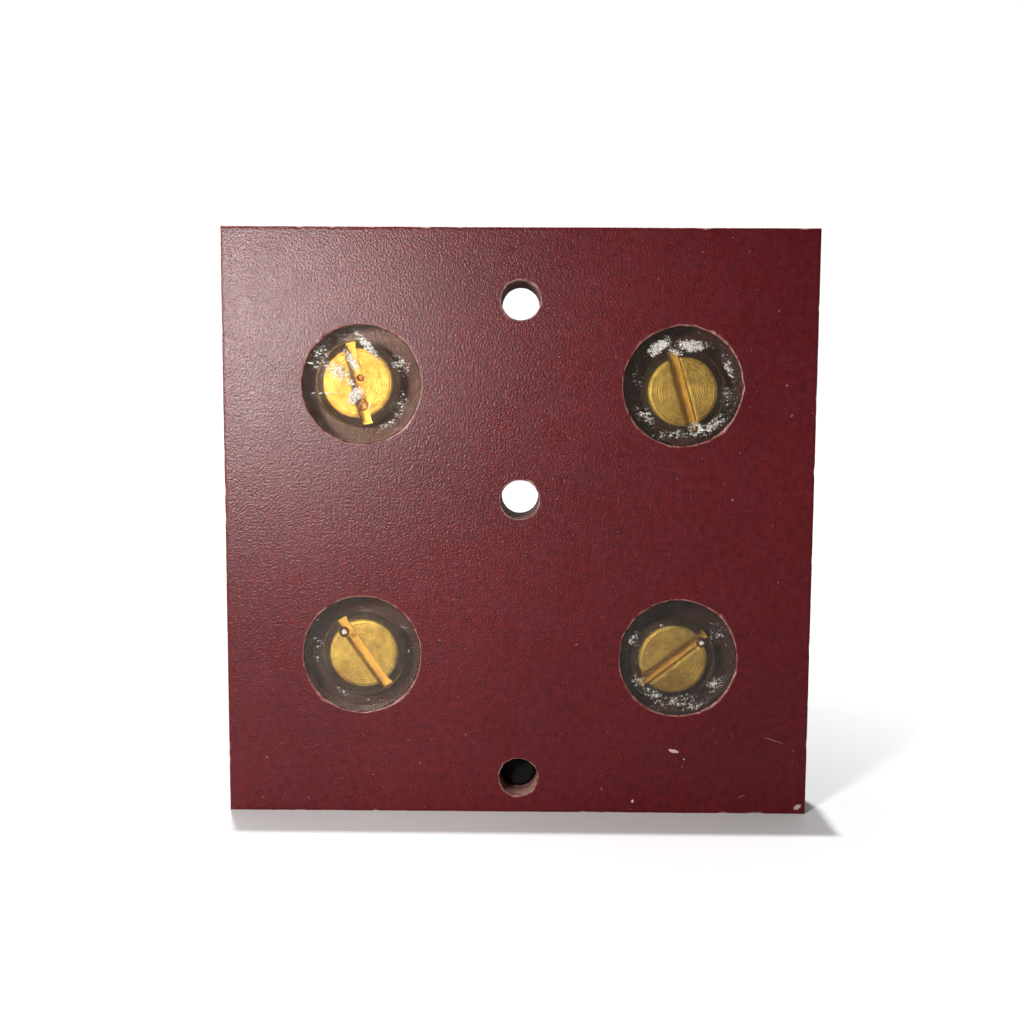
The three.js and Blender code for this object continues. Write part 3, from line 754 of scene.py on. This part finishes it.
# places are millimetres from the well's middle; a blot is (x, z, reach along, reach across, turn, strength)
wells = {
    "upper_left": {
        "bubbles": [(0.1, -4.4, 1.3, 0.5), (-0.3, 1.4, 0.8, 0.4)], "pits": [],
        "blots": [(1.2, 8.4, 3.8, 1.0, -48, 1.2), (-4.9, 2.4, 4.2, 1.9, -32, 0.9),
                  (-1.9, 4.9, 2.9, 1.0, -58, 1.25),
                  (-1.4, -2.3, 2.6, 1.3, 52, 1.35), (8.2, 4.2, 2.0, 2.4, 30, 0.72),
                  (8.0, -4.8, 1.5, 3.6, -18, 0.62),
                  (-8.6, 6.2, 2.6, 2.6, 20, 0.62), (-7.8, -1.9, 2.9, 0.13, 0, 1.6),
                  (-10.4, 4.2, 2.2, 0.35, -28, 0.95),
                  (5.6, -8.4, 3.4, 1.0, 24, 0.6), (-2.6, 0.6, 2.4, 0.8, -48, 1.0),
                  (1.6, -4.4, 0.95, 0.95, 0, 0.7)]},
    "upper_right": {
        "bubbles": [], "pits": [(2.9, -9.1, 1.3, 0.9)],
        "blots": [(-5.2, 8.4, 3.0, 1.4, 34, 1.3), (1.6, 8.6, 3.4, 1.5, 0, 1.3), (-1.6, 7.4, 1.8, 1.2, 0, 0.9),
                  (9.6, 4.2, 1.0, 3.2, 20, 0.9), (2.9, -9.1, 1.6, 1.6, 0, 1.3),
                  (-7.8, -6.6, 3.0, 1.6, -40, 0.66),
                  (6.6, -8.2, 3.8, 1.5, 35, 0.85), (-1.8, -10.4, 4.6, 1.2, 5, 0.66),
                  (9.8, -2.2, 1.6, 3.8, 0, 0.55),
                  (-9.8, 1.8, 1.2, 3.2, 0, 0.45)]},
    "lower_left": {
        "bubbles": [(-3.9, 4.9, 1.15, 0.62)], "pits": [(2.3, 2.2, 0.35, 0.3), (-3.4, -3.8, 0.4, 0.3)],
        "blots": [(-3.9, 4.9, 0.62, 0.62, 0, 1.9), (6.2, -1.8, 1.6, 2.2, 20, 0.4),
                  (10.2, 0.9, 0.35, 0.35, 0, 1.2),
                  (1.4, -10.0, 0.4, 0.4, 0, 1.1), (-4.0, -8.3, 3.0, 1.2, -30, 0.4),
                  (-9.6, 1.2, 1.4, 4.4, 0, 0.42),
                  (8.6, 6.2, 2.0, 1.2, -40, 0.42)]},
    "lower_right": {
        "bubbles": [(5.1, 3.4, 1.15, 0.62)], "pits": [(0.9, 5.2, 0.35, 0.25)],
        "blots": [(5.1, 3.4, 0.62, 0.62, 0, 1.9), (-9.8, 4.2, 1.1, 2.0, -20, 0.8),
                  (0.8, -9.6, 5.8, 1.8, 8, 0.62),
                  (-5.2, -8.2, 3.4, 1.8, -30, 0.66), (8.2, -5.6, 2.6, 1.6, 35, 0.72),
                  (8.2, 5.2, 2.0, 2.6, -20, 0.6),
                  (-8.6, -5.2, 1.4, 1.8, 20, 0.72), (-3.2, 7.0, 1.8, 0.7, -20, 0.62),
                  (3.6, -10.6, 3.0, 1.1, 15, 0.72),
                  (-7.0, 1.0, 1.0, 3.0, 10, 0.4)]},
}


def resinTop(x, z, well, seed):
    # the skin's height: long gentle swells, a rise at the wall, and round pits
    draw = np.random.default_rng(seed)
    k = draw.uniform(0.25, 1.1, (9, 2)) * draw.choice([-1, 1], (9, 2))
    phase, size = draw.uniform(0, 6.28, 9), draw.uniform(0.3, 1, 9)
    swell = sum(s * np.cos(x * kx + z * kz + p) for s, (kx, kz), p in zip(size, k, phase)) / size.sum()
    toWall = np.clip(np.hypot(x, z) / resin["radius"], 0, 1)
    y = resin["top"] + 0.04 + resin["swell"] * swell - 0.02 * toWall ** 14
    for px, pz, radius, depth in well["pits"]:
        near = np.clip(1 - (np.hypot(x - px, z - pz) / radius) ** 2, 0, 1)
        y = y + depth * near ** 0.6
    return np.maximum(y, resin["top"] - 0.1)


def resinSpread(rows, ease, reach):
    # rows of points over a well, closer together towards its wall
    r = (np.linspace(0, 1, rows) ** ease * reach)[:, None]
    angle = fullTurn(resin["sides"])
    return r * np.cos(angle), r * np.sin(angle)


def resinBubbles(place, well):
    tilt, turn = np.linspace(0, np.pi, 15)[:, None], fullTurn(28)
    balls = [carried(radius * np.sin(tilt), resin["bubbleDepth"] + half * np.cos(tilt), turn, x, z)
             for x, z, radius, half in well["bubbles"]]
    return [weave(placed(ball, place["well"])) for ball in balls]


def makePlug(name, place, well, seed):
    # a skin, then down the wall, in over the floor, up beside the stud's head and flat over its top
    x, z = resinSpread(resin["rows"], 0.85, resin["radius"])
    skin = np.stack([x, resinTop(x, z, well, seed), z], -1)
    sx, sz = np.subtract(place["at"], place["well"])
    beside, over, bottom = stud["radius"] + resin["gap"], stud["top"] - resin["gap"], resin["bottom"]
    path = np.array([(0, 0, resin["radius"], 1.2), (0, 0, resin["radius"], bottom), (sx, sz, beside, bottom),
                     (sx, sz, beside, over), (sx, sz, 4, over), (sx, sz, 0, over)])
    inner = carried(path[:, 2:3], path[:, 3:4], fullTurn(resin["sides"]), path[:, :1], path[:, 1:2])
    shells = [weave(placed(np.concatenate([skin, inner]), place["well"]))]
    makePiece("pottingResin_" + name, shells, "resin_" + name, "panel", "potting_plug_" + name,
              60, None, resinBubbles(place, well))


def makeFrost(name, place, well, seed):
    # a film just over the skin: mark = strength * exp(-(u^2 + v^2)^1.3) in each turned and stretched blot
    x, z = resinSpread(70, 1, resin["radius"] - 0.15)
    mark = np.zeros_like(x)
    for bx, bz, along, across, turn, strength in well["blots"]:
        c, s = np.cos(np.radians(turn)), np.sin(np.radians(turn))
        u, v = (x - bx) * c + (z - bz) * s, -(x - bx) * s + (z - bz) * c
        mark = np.maximum(mark, strength * np.exp(-((u / along) ** 2 + (v / across) ** 2) ** 1.3))
    for px, pz, radius, depth in well["pits"]:
        mark = mark * (np.hypot(x - px, z - pz) > 0.55 * radius)
    for bx, bz, radius, half in well["bubbles"]:
        # none lies over a bubble's ring
        mark = mark * (np.abs(np.hypot(x - bx, z - bz) / radius - 0.75) > 0.3)
    film = np.stack([x, resinTop(x, z, well, seed) - 0.03, z], -1)
    makePiece("resinFrost_" + name, [weave(placed(film, place["well"]))], "frost", "panel", None,
              60, {"frost": mark.ravel()})


for k, (name, place) in enumerate(studs.items()):
    makePlug(name, place, wells[name], 500 + k)
    makeFrost(name, place, wells[name], 500 + k)
print("resin made")


stack = {"barBack": 16.0, "clipBack": 19.3, "washerBack": 20.6, "lockBack": 22.3, "nutBack": 24.8,
         "fuseAxis": 43.3, "clampBack": 19.3, "screwUnder": 20.6}
bar = {"width": 19.05, "thickness": 3.2, "inner": 9.5, "outer": 27, "corner": 3.2, "studHole": 5.6,
       "screwHole": 2.5}
clip = {"width": 15.9, "sheet": 1.2, "baseHalf": 13.2, "bend": 2, "wallTop": 8, "hole": 5.6, "grip": 11.15,
        "start": -38, "waistPull": 3, "lipOut": 2.6, "lipRise": 6.2, "corner": 2.4}
flatWasher = {"bore": 5.15, "radius": 10.3, "thickness": 1.6}
lockWasher = {"bore": 5.0, "radius": 8.6, "thickness": 2.0, "rise": 0.4, "gap": np.radians(9)}
nut = {"height": 5.6, "acrossFlats": 14.3, "bore": 4.95}
bindingScrew = {"head": 3.2, "radius": 4.75, "topRadius": 3.8, "slotWidth": 1.3, "slotDepth": 1.5,
                "neck": 2.1,
                "shank": 2.3, "threadDepth": 0.42, "pitch": 0.794, "length": 9.5, "chamfer": 0.5, "sides": 64,
                "shankSides": 32}
clampWasher = {"side": 11.1, "thickness": 1.2, "bore": 2.6}


def evenEdge(inset, reach, seed):
    def worn(count):
        return np.clip(inset + wander(fullTurn(count), reach, 24, seed), 0.3 * inset, 2 * inset)
    return worn


def punched(z, radius, thickness, ease, window):
    # a plain hole with an eased edge at both faces
    rings = [(radius + ease, 0), (radius + 0.3 * ease, 0.3 * ease), (radius, ease),
             (radius, thickness - ease),
             (radius + 0.3 * ease, thickness - 0.3 * ease), (radius + ease, thickness)]
    return {"rings": [(0, z, r, y, 0, 0) for r, y in rings], "window": (window, window)}


def roundCorners(points, low, high, corner):
    # inside each corner's square, a point keeps its direction from the arc's middle, and its larger offset
    # becomes its radius
    plan = points[:, [0, 2]]
    centre = np.clip(plan, np.array(low) + corner, np.array(high) - corner)
    off = plan - centre
    big, far = np.abs(off).max(1), np.maximum(np.linalg.norm(off, axis=1), 1e-9)
    plan = centre + off * (big / far)[:, None]
    return np.stack([plan[:, 0], points[:, 1], plan[:, 1]], 1)


def makeBar(name, place):
    out, half, thick = place["out"], bar["width"] / 2, bar["thickness"]
    low, high = sorted((-out * bar["inner"], out * bar["outer"]))
    holes = [punched(0, bar["studHole"], thick, 0.25, 9),
             punched(out * screwReach, bar["screwHole"], thick, 0.2, 5)]
    plate = {"cells": (26, 50), "x": (-half, half), "z": (low, high), "thickness": thick,
             "worn": evenEdge(0.3, 0.06, 31), "wornFront": evenEdge(0.3, 0.06, 37), "sideRows": (0.5,),
             "ripple": lambda count, share: np.zeros(count)}
    shift = np.array([columns[place["column"]][0], stack["barBack"], place["at"][1]])
    shells = [(roundCorners(points, (-half, low), (half, high), bar["corner"]) + shift, quads)
              for points, quads in boredPlate(plate, holes)[0]]
    makePiece("terminalBar_" + name, shells, "barBrass", "panel", "terminal_bar_" + name)


def bezier(points, steps):
    # a quadratic or a cubic curve, by repeated blending of neighbouring points
    t = np.linspace(0, 1, steps)[:, None]
    row = [np.array(point, float) + 0 * t for point in points]
    while len(row) > 1:
        row = [(1 - t) * a + t * b for a, b in zip(row, row[1:])]
    return row[0]


def arcOf(x, y, radius, start, end, steps):
    turn = np.linspace(start, end, steps)
    return np.stack([x + radius * np.cos(turn), y + radius * np.sin(turn)], 1)


def clipPath():
    # half of the strip's middle line, from the base out to the lip, then mirrored
    y, start = stack["clipBack"] + clip["sheet"] / 2, np.radians(clip["start"])
    grip, pull, base, fold = (clip[key] for key in ("grip", "waistPull", "baseHalf", "bend"))
    axis = stack["fuseAxis"]
    wallTop = y + clip["wallTop"]
    hold = arcOf(0, axis, grip, start, 0, 16)
    leadIn = hold[0] + pull * np.array([np.sin(start), -np.cos(start)])
    curve = bezier([(base, wallTop), (base, wallTop + 2 * pull), leadIn, hold[0]], 24)
    lip = bezier([hold[-1], (grip, axis + clip["lipRise"] / 2),
                  (grip + clip["lipOut"], axis + clip["lipRise"])], 24)
    bend = arcOf(base - fold, y + fold, fold, -np.pi / 2, 0, 12)
    half = np.vstack([[[0.0, y]], bend, curve, hold[1:], lip[1:]])
    return np.vstack([(half * np.array([-1, 1]))[::-1], half[1:]])


def clipBend():
    # the strip's length, and what lays a flat plate along its middle line
    path = clipPath()
    run = np.concatenate([[0], np.cumsum(np.linalg.norm(np.diff(path, axis=0), axis=1))])
    even = np.linspace(0, run[-1], 600)
    line = np.stack([np.interp(even, run, path[:, k]) for k in (0, 1)], 1)
    for _ in range(12):
        line[1:-1] = 0.25 * line[:-2] + 0.5 * line[1:-1] + 0.25 * line[2:]
    along = np.gradient(line, axis=0)
    along /= np.linalg.norm(along, axis=1, keepdims=True)
    side = np.stack([-along[:, 1], along[:, 0]], 1)

    def bent(points):
        # x follows the line, y is the offset to the side of it, and z stays
        at = points[:, 0] + run[-1] / 2
        where, off = (np.stack([np.interp(at, even, of[:, k]) for k in (0, 1)], 1) for of in (line, side))
        flat = where + off * (points[:, 1:2] - clip["sheet"] / 2)
        return np.stack([flat[:, 0], flat[:, 1], points[:, 2]], 1)

    return run[-1], bent


def makeClip(name, place):
    length, bent = clipBend()
    reach, width = length / 2, clip["width"] / 2
    plate = {"cells": (int(reach) * 2, 16), "x": (-reach, reach), "z": (-width, width),
             "thickness": clip["sheet"],
             "worn": evenEdge(0.16, 0.03, 43), "wornFront": evenEdge(0.16, 0.03, 47), "sideRows": ()}
    shift = np.array([columns[place["column"]][0], 0, place["at"][1]])
    shells = [(bent(roundCorners(points, (-reach, -width), (reach, width), clip["corner"])) + shift, quads)
              for points, quads in boredPlate(plate, [punched(0, clip["hole"], clip["sheet"], 0.15, 7)])[0]]
    makePiece("fuseClip_" + name, shells, "springBrass", "panel", "fuse_clip_" + name)


def makeFlatWasher(name, place):
    # a closed section with one rolled edge, carried round
    low, high = stack["washerBack"], stack["washerBack"] + flatWasher["thickness"]
    bore, radius = flatWasher["bore"], flatWasher["radius"]
    section = rounded([(bore, low), (radius, low), (radius, high), (bore, high)], [0.15, 0.15, 0.5, 0.25], 5,
                      True)
    shells = [weave(placed(turned(section, 96), place["at"]), True)]
    makePiece("flatWasher_" + name, shells, "platedSteel", "panel", "flat_washer_" + name,
              marks={"axisDistance": axisMark(shells, place["at"])})


def makeLockWasher(name, place):
    # a split washer: a square section whose ends part a little in height, closed at both ends
    bore, radius, thick, gap = (lockWasher[key] for key in ("bore", "radius", "thickness", "gap"))
    angle = np.linspace(gap / 2, 2 * np.pi - gap / 2, 110)
    rise = lockWasher["rise"] * np.linspace(0, 1, 110)
    section = rounded([(bore, 0), (radius, 0), (radius, thick), (bore, thick)], 0.22, 4, True)
    tube = carried(section[:, :1], section[:, 1:] + stack["lockBack"] + rise, angle)
    ends = [np.repeat(tube[:, k:k + 1].mean(0, keepdims=True), len(section), 0) for k in (0, -1)]
    tube = np.concatenate([ends[0], tube, ends[1]], 1)
    shells = [weave(placed(tube, place["at"], -place["slotAngle"]), True, False)]
    makePiece("lockWasher_" + name, shells, "platedSteel", "panel", "lock_washer_" + name)


def makeNut(name, place):
    # six flats: r = half the flats / cos(angle from the nearest flat), cut down by a cone at both faces
    low, tall, half, bore = stack["nutBack"], nut["height"], nut["acrossFlats"] / 2, nut["bore"]
    angle = fullTurn(144)
    flat = half / np.cos((angle % (np.pi / 3)) - np.pi / 6)
    rise = np.array([0, 0, 0, 0.25, 0.6, 1.0])
    heights = np.concatenate([rise, [tall / 2], tall - rise[::-1]])[:, None]
    share = np.array([0, 0.5, *[1] * 9, 0.5, 0])[:, None]
    outer = np.minimum(flat, half * 0.985 + 1.75 * np.minimum(heights, tall - heights))
    inside = bore + 0.35 * (share == 0)
    grid = carried(inside + (outer - inside) * share, low + heights, angle)
    wall = carried(bore, low + np.array([[tall - 0.35], [0.35]]), angle)
    shells = [weave(placed(np.concatenate([grid, wall]), place["at"], -place["slotAngle"] / 3), True)]
    makePiece("studNut_" + name, shells, "screwBrass", "panel", "stud_nut_" + name, 24,
              {"axisDistance": axisMark(shells, place["at"])})


def makeBindingScrew(name, place):
    # a slotted pan head on a threaded shank that points back into the board
    at, under = screwPlace(place), stack["screwUnder"]
    radius, neck = bindingScrew["radius"], bindingScrew["neck"]
    top = under + bindingScrew["head"]
    floorY = top - bindingScrew["slotDepth"]
    lower = densified(rounded([(0, floorY), (radius, floorY), (radius, under), (neck, under),
                               (neck, under - 0.3)],
                              0.2), 0.9)
    lower = np.vstack([lower, [(0, under - 0.3)]])
    lands = slottedHead({"slotWidth": bindingScrew["slotWidth"], "topRadius": bindingScrew["topRadius"],
                         "ease": 0.3, "flankY": [top - 1.1, top - 0.6], "flankR": [radius, radius - 0.25]},
                        floorY, top, radius)
    shank = threadedShank(bindingScrew, under + 0.05, under - bindingScrew["length"])
    shells = [weave(placed(grid, at, -place["slotAngle"] / 2))
              for grid in (turned(lower, bindingScrew["sides"]), *lands, shank)]
    makePiece("bindingScrew_" + name, shells, "screwBrass", "screw_" + name, "binding_screw_" + name,
              34, {"axisDistance": axisMark(shells, at)})


def makeClampWasher(name, place):
    # a square with clipped corners turned round a hole
    half, bore, angle = clampWasher["side"] / 2, clampWasher["bore"], fullTurn(128)
    square = np.minimum(half / np.maximum(np.abs(np.cos(angle)), np.abs(np.sin(angle))), half * 1.28)
    share = np.array([0, 0.5, 1, 1, 1, 1, 0.5, 0])[:, None]
    level = np.array([0, 0, 0, 0.2, 0.6, 1, 1, 1])[:, None]
    ease = np.array([0, 0, 0.2, 0.02, 0, 0.25, 0, 0])[:, None]
    grid = carried(bore + (square - ease - bore) * share,
                   stack["clampBack"] + clampWasher["thickness"] * level, angle)
    makePiece("clampWasher_" + name, [weave(placed(grid, screwPlace(place)), True)], "platedSteel",
              "clamp_" + name, "clamp_washer_" + name)


finishes["screwBrass"] = metalFinish("screwBrass", {**metals["barBrass"], "rings": 0.3})
for name, place in studs.items():
    for makeOne in (makeBar, makeClip, makeFlatWasher, makeLockWasher, makeNut, makeBindingScrew,
                    makeClampWasher):
        makeOne(name, place)
print("terminals and clips made")


fuse = {"length": 76.2, "radius": 10.3, "capLength": 15.9, "wall": 0.8, "end": 1.0, "tube": 9.35, "bore": 7.3,
        "seamPitch": 34, "seamDepth": 0.07}


def alongZ(grid, at, low, sign):
    # turned about Y first; its height becomes a distance along Z from the fuse's end
    return np.stack([at[0] + grid[..., 0], stack["fuseAxis"] + grid[..., 2] * sign,
                     low + sign * grid[..., 1]], -1)


def makeCap(side, end, at, sign):
    # a drawn cap: a faint dish in its closed end, a rounded shoulder, and a rolled-in bead near its mouth
    r, inner, long = fuse["radius"], fuse["radius"] - fuse["wall"], fuse["capLength"]
    bead = r - 0.32
    outline = rounded([(0, 0.12), (5.2, 0.10), (6.0, 0.0), (r, 0.0), (r, long - 3.6), (bead, long - 3.0),
                       (bead, long - 2.6), (r, long - 2.0), (r, long), (inner, long), (inner, fuse["end"]),
                       (0, fuse["end"])], [0, 0.3, 0.4, 1.1, 0.3, 0.3, 0.3, 0.3, 0.3, 0.3, 0.5, 0], 6)
    grid = alongZ(turned(densified(outline, 0.8), 96), at, at[1] - sign * fuse["length"] / 2, sign)
    makePiece(f"fuseCap_{end}_{side}", [weave(grid)], "capBrass", "fuse_" + side, f"fuse_cap_{end}_{side}",
              40)


def makeTube(side, at):
    # a wound tube with a shallow seam that runs round it as a long helix
    half, bore, radius = fuse["length"] / 2 - fuse["end"] - 0.1, fuse["bore"], fuse["tube"]
    section = rounded([(bore, -half), (radius, -half), (radius, half), (bore, half)], 0.2, 4, True)
    outer = np.stack([np.full(90, radius), np.linspace(-half + 0.6, half - 0.6, 90)], 1)
    outline, angle = np.vstack([section[:8], outer, section[8:]]), fullTurn(96)
    seam = np.exp(-((((outline[:, 1:] / fuse["seamPitch"] - angle / (2 * np.pi)) % 1) - 0.5) / 0.012) ** 2)
    onSide = np.abs(outline[:, :1] - radius) < 1e-6
    grid = carried(outline[:, :1] - fuse["seamDepth"] * seam * onSide, outline[:, 1:], angle)
    makePiece("fuseTube_" + side, [weave(alongZ(grid, at, at[1], 1), True)], "tubeFibre", "fuse_" + side,
              "fuse_tube_" + side, 40)


for side, at in columns.items():
    makeCap(side, "lower", at, 1)
    makeCap(side, "upper", at, -1)
    makeTube(side, at)
    for part, finish in (("fuse_link_", "linkZinc"), ("fuse_filler_", "fillerSand")):
        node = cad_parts[part + side]
        node.data.materials.clear()
        node.data.materials.append(finishes[finish])
print("fuses made")


post = {"at": (0.25, -55.6), "radius": 7, "foot": 16.0, "end": 54.1, "spigot": 4.05, "tip": 5.6,
        "pocket": 3.1,
        "pocketFloor": 44.1}
insert = {"low": 44.6, "high": 54.1, "radius": 3.0, "bore": 2.1, "threadDepth": 0.28, "pitch": 0.8,
          "knurls": 30}


def makePost():
    tip, foot, end, floor = post["tip"], post["foot"], post["end"], post["pocketFloor"]
    spigot, radius, pocket = post["spigot"], post["radius"], post["pocket"]
    outline = rounded([(0, tip), (spigot - 0.6, tip), (spigot, tip + 0.6), (spigot, foot), (radius, foot),
                       (radius, end - 0.6), (radius - 0.6, end), (pocket, end), (pocket, floor), (0, floor)],
                      [0, 0.3, 0.3, 0.3, 0.6, 0.4, 0.4, 0.2, 0.3, 0], 5)
    outline, angle = densified(outline, 0.9), fullTurn(96)
    # two mould lines stand a little proud along the outside
    onSide = (outline[:, :1] > radius - 0.1) & (outline[:, 1:] > foot + 1)
    proud = np.exp(-(np.sin(angle) / 0.02) ** 2) * onSide
    r = outline[:, :1] - 0.05 + 0.05 * proud
    r[outline[:, 0] < 0.01] = 0
    grid = carried(r, outline[:, 1:], angle)
    makePiece("coverPost", [weave(placed(grid, post["at"]))], "blackMoulding", "panel", "cover_post",
              40)


def makeInsert():
    # a knurled sleeve with a threaded bore
    low, high, radius, angle = insert["low"], insert["high"], insert["radius"], fullTurn(120)
    height, inside = np.linspace(low, high, 40)[:, None], np.linspace(high - 0.3, low + 0.3, 90)[:, None]
    knurled = (height > low + 1) & (height < high - 1.2)
    outer = radius - 0.06 * (1 + np.cos(insert["knurls"] * angle)) * knurled
    saw = np.abs(2 * ((inside / insert["pitch"] - angle / (2 * np.pi)) % 1) - 1)
    bore = insert["bore"] + insert["threadDepth"] * saw * np.clip((high - inside) / insert["pitch"], 0, 1)
    around = np.ones((1, len(angle)))
    r = np.vstack([outer, 2.75 * around, 2.45 * around, bore, 2.5 * around])
    y = np.vstack([height, [[high]], [[high]], inside, [[low]]])
    shells = [weave(placed(carried(r, y, angle), post["at"]), True)]
    makePiece("postInsert", shells, "screwBrass", "panel", "cover_post_insert", 40,
              {"axisDistance": axisMark(shells, post["at"])})


makePost()
makeInsert()
print("post made")

studio = {
    "floor": -63.5, "reach": 4000, "unseenShare": 0.22, "farGlow": (98, 210, 0.4),
    "skyBack": 0.05, "skyFront": 0.6, "skySeen": 1.1,
    "overhead": 2.35, "overheadFrom": (-4.0, 12.6, 127), "overheadSpread": 1.2,
    "window": 0.9, "windowAt": (-130, -238, 65), "windowSize": 46, "windowAim": (-10, 0, 0),
    "lens": 38.95, "cameraAt": (0.08, -238.01, 25.28), "cameraTurn": (84.954, -0.299, 0.400),
}


def makeTable():
    line = np.linspace(-1, 1, 49)
    x, y = np.meshgrid(*[np.sign(line) * line ** 2 * studio["reach"]] * 2, indexing="ij")
    points, quads = weave(np.stack([x, y, np.full_like(x, studio["floor"])], -1), False, False)
    mesh = bpy.data.meshes.new("tableTop")
    mesh.from_pydata((points * mm).tolist(), [], quads[:, ::-1].tolist())
    finish, tree, shader = newFinish("tableTop")
    place, seen = objectPlace(tree), addNode(tree, "ShaderNodeLightPath").outputs["Is Camera Ray"]
    soft = cloud(tree, place, 14.0, 4.0)
    colour = blendColour(tree, soft, (0.80, 0.80, 0.81), (0.84, 0.84, 0.84))
    # the table throws back less light than it shows, so that the board's lower half keeps its colour
    share = spread(tree, seen, 0, 1, studio["unseenShare"], 1)
    colour = addNode(tree, "ShaderNodeVectorMath", {0: colour, 1: share}, operation="MULTIPLY").outputs[0]
    plug(tree, shader, colour, spread(tree, soft, 0.3, 0.7, 0.5, 0.62), None, Specular_IOR_Level=0.2,
         Emission_Strength=1.0)
    # far from the board the table glows for the camera up to the room's white: painted light, which also
    # fades out the far part of the board's cast shadow
    far = addNode(tree, "ShaderNodeVectorMath", {0: place}, operation="LENGTH").outputs["Value"]
    near, end, glow = studio["farGlow"]
    tree.links.new(times(tree, seen, spread(tree, far, near * mm, end * mm, 0, glow)),
                   shader.inputs["Emission Color"])
    mesh.materials.append(finish)
    table = bpy.data.objects.new("tableTop", mesh)
    bpy.context.scene.collection.objects.link(table)


def addLamp(data, fromWhere, at=(0, 0, 0)):
    lamp = bpy.data.objects.new(data.name, data)
    lamp.location = np.array(at) * mm
    lamp.rotation_mode = "QUATERNION"
    lamp.rotation_quaternion = Vector(fromWhere).to_track_quat("Z", "Y")
    lamp.visible_camera = lamp.visible_transmission = False
    bpy.context.scene.collection.objects.link(lamp)


def makeLamps():
    # a sun overhead and a little towards +Y, and a small near lamp that the upper left corner mirrors
    overhead = bpy.data.lights.new("overheadLamp", "SUN")
    overhead.energy, overhead.angle = studio["overhead"], np.radians(studio["overheadSpread"])
    addLamp(overhead, studio["overheadFrom"])
    window = bpy.data.lights.new("windowLamp", "AREA")
    window.shape, window.size, window.energy = "DISK", studio["windowSize"] * mm, studio["window"]
    window.color = (1, 0.975, 0.96)
    addLamp(window, np.subtract(studio["windowAt"], studio["windowAim"]).tolist(), studio["windowAt"])


def makeRoom():
    # the room is dim towards -Y, pale towards +Y, and plain white where the camera sees it
    world = bpy.data.worlds.new("paleRoom")
    bpy.context.scene.world = world
    world.use_nodes = True
    tree = world.node_tree
    seen = addNode(tree, "ShaderNodeLightPath").outputs["Is Camera Ray"]
    facing = addNode(tree, "ShaderNodeTexCoord").outputs["Generated"]
    towards = addNode(tree, "ShaderNodeSeparateXYZ", {0: facing}).outputs["Y"]
    sky = spread(tree, towards, -0.1, 0.5, studio["skyBack"], studio["skyFront"])
    level = addNode(tree, "ShaderNodeMix", {0: seen, 2: sky, 3: studio["skySeen"]}).outputs[0]
    tree.links.new(level, tree.nodes["Background"].inputs["Strength"])
    tree.nodes["Background"].inputs["Color"].default_value = (1, 1, 1, 1)


def makeCamera():
    lens = bpy.data.cameras.new("benchCamera")
    lens.lens, lens.sensor_width, lens.clip_start, lens.clip_end = studio["lens"], 36.0, 0.01, 20.0
    camera = bpy.data.objects.new("benchCamera", lens)
    camera.location = np.array(studio["cameraAt"]) * mm
    camera.rotation_euler = Euler(np.radians(studio["cameraTurn"]).tolist())
    bpy.context.scene.collection.objects.link(camera)
    bpy.context.scene.camera = camera
    bpy.context.scene.view_settings.view_transform = "Standard"


makeTable()
makeLamps()
makeRoom()
makeCamera()
print("studio made")
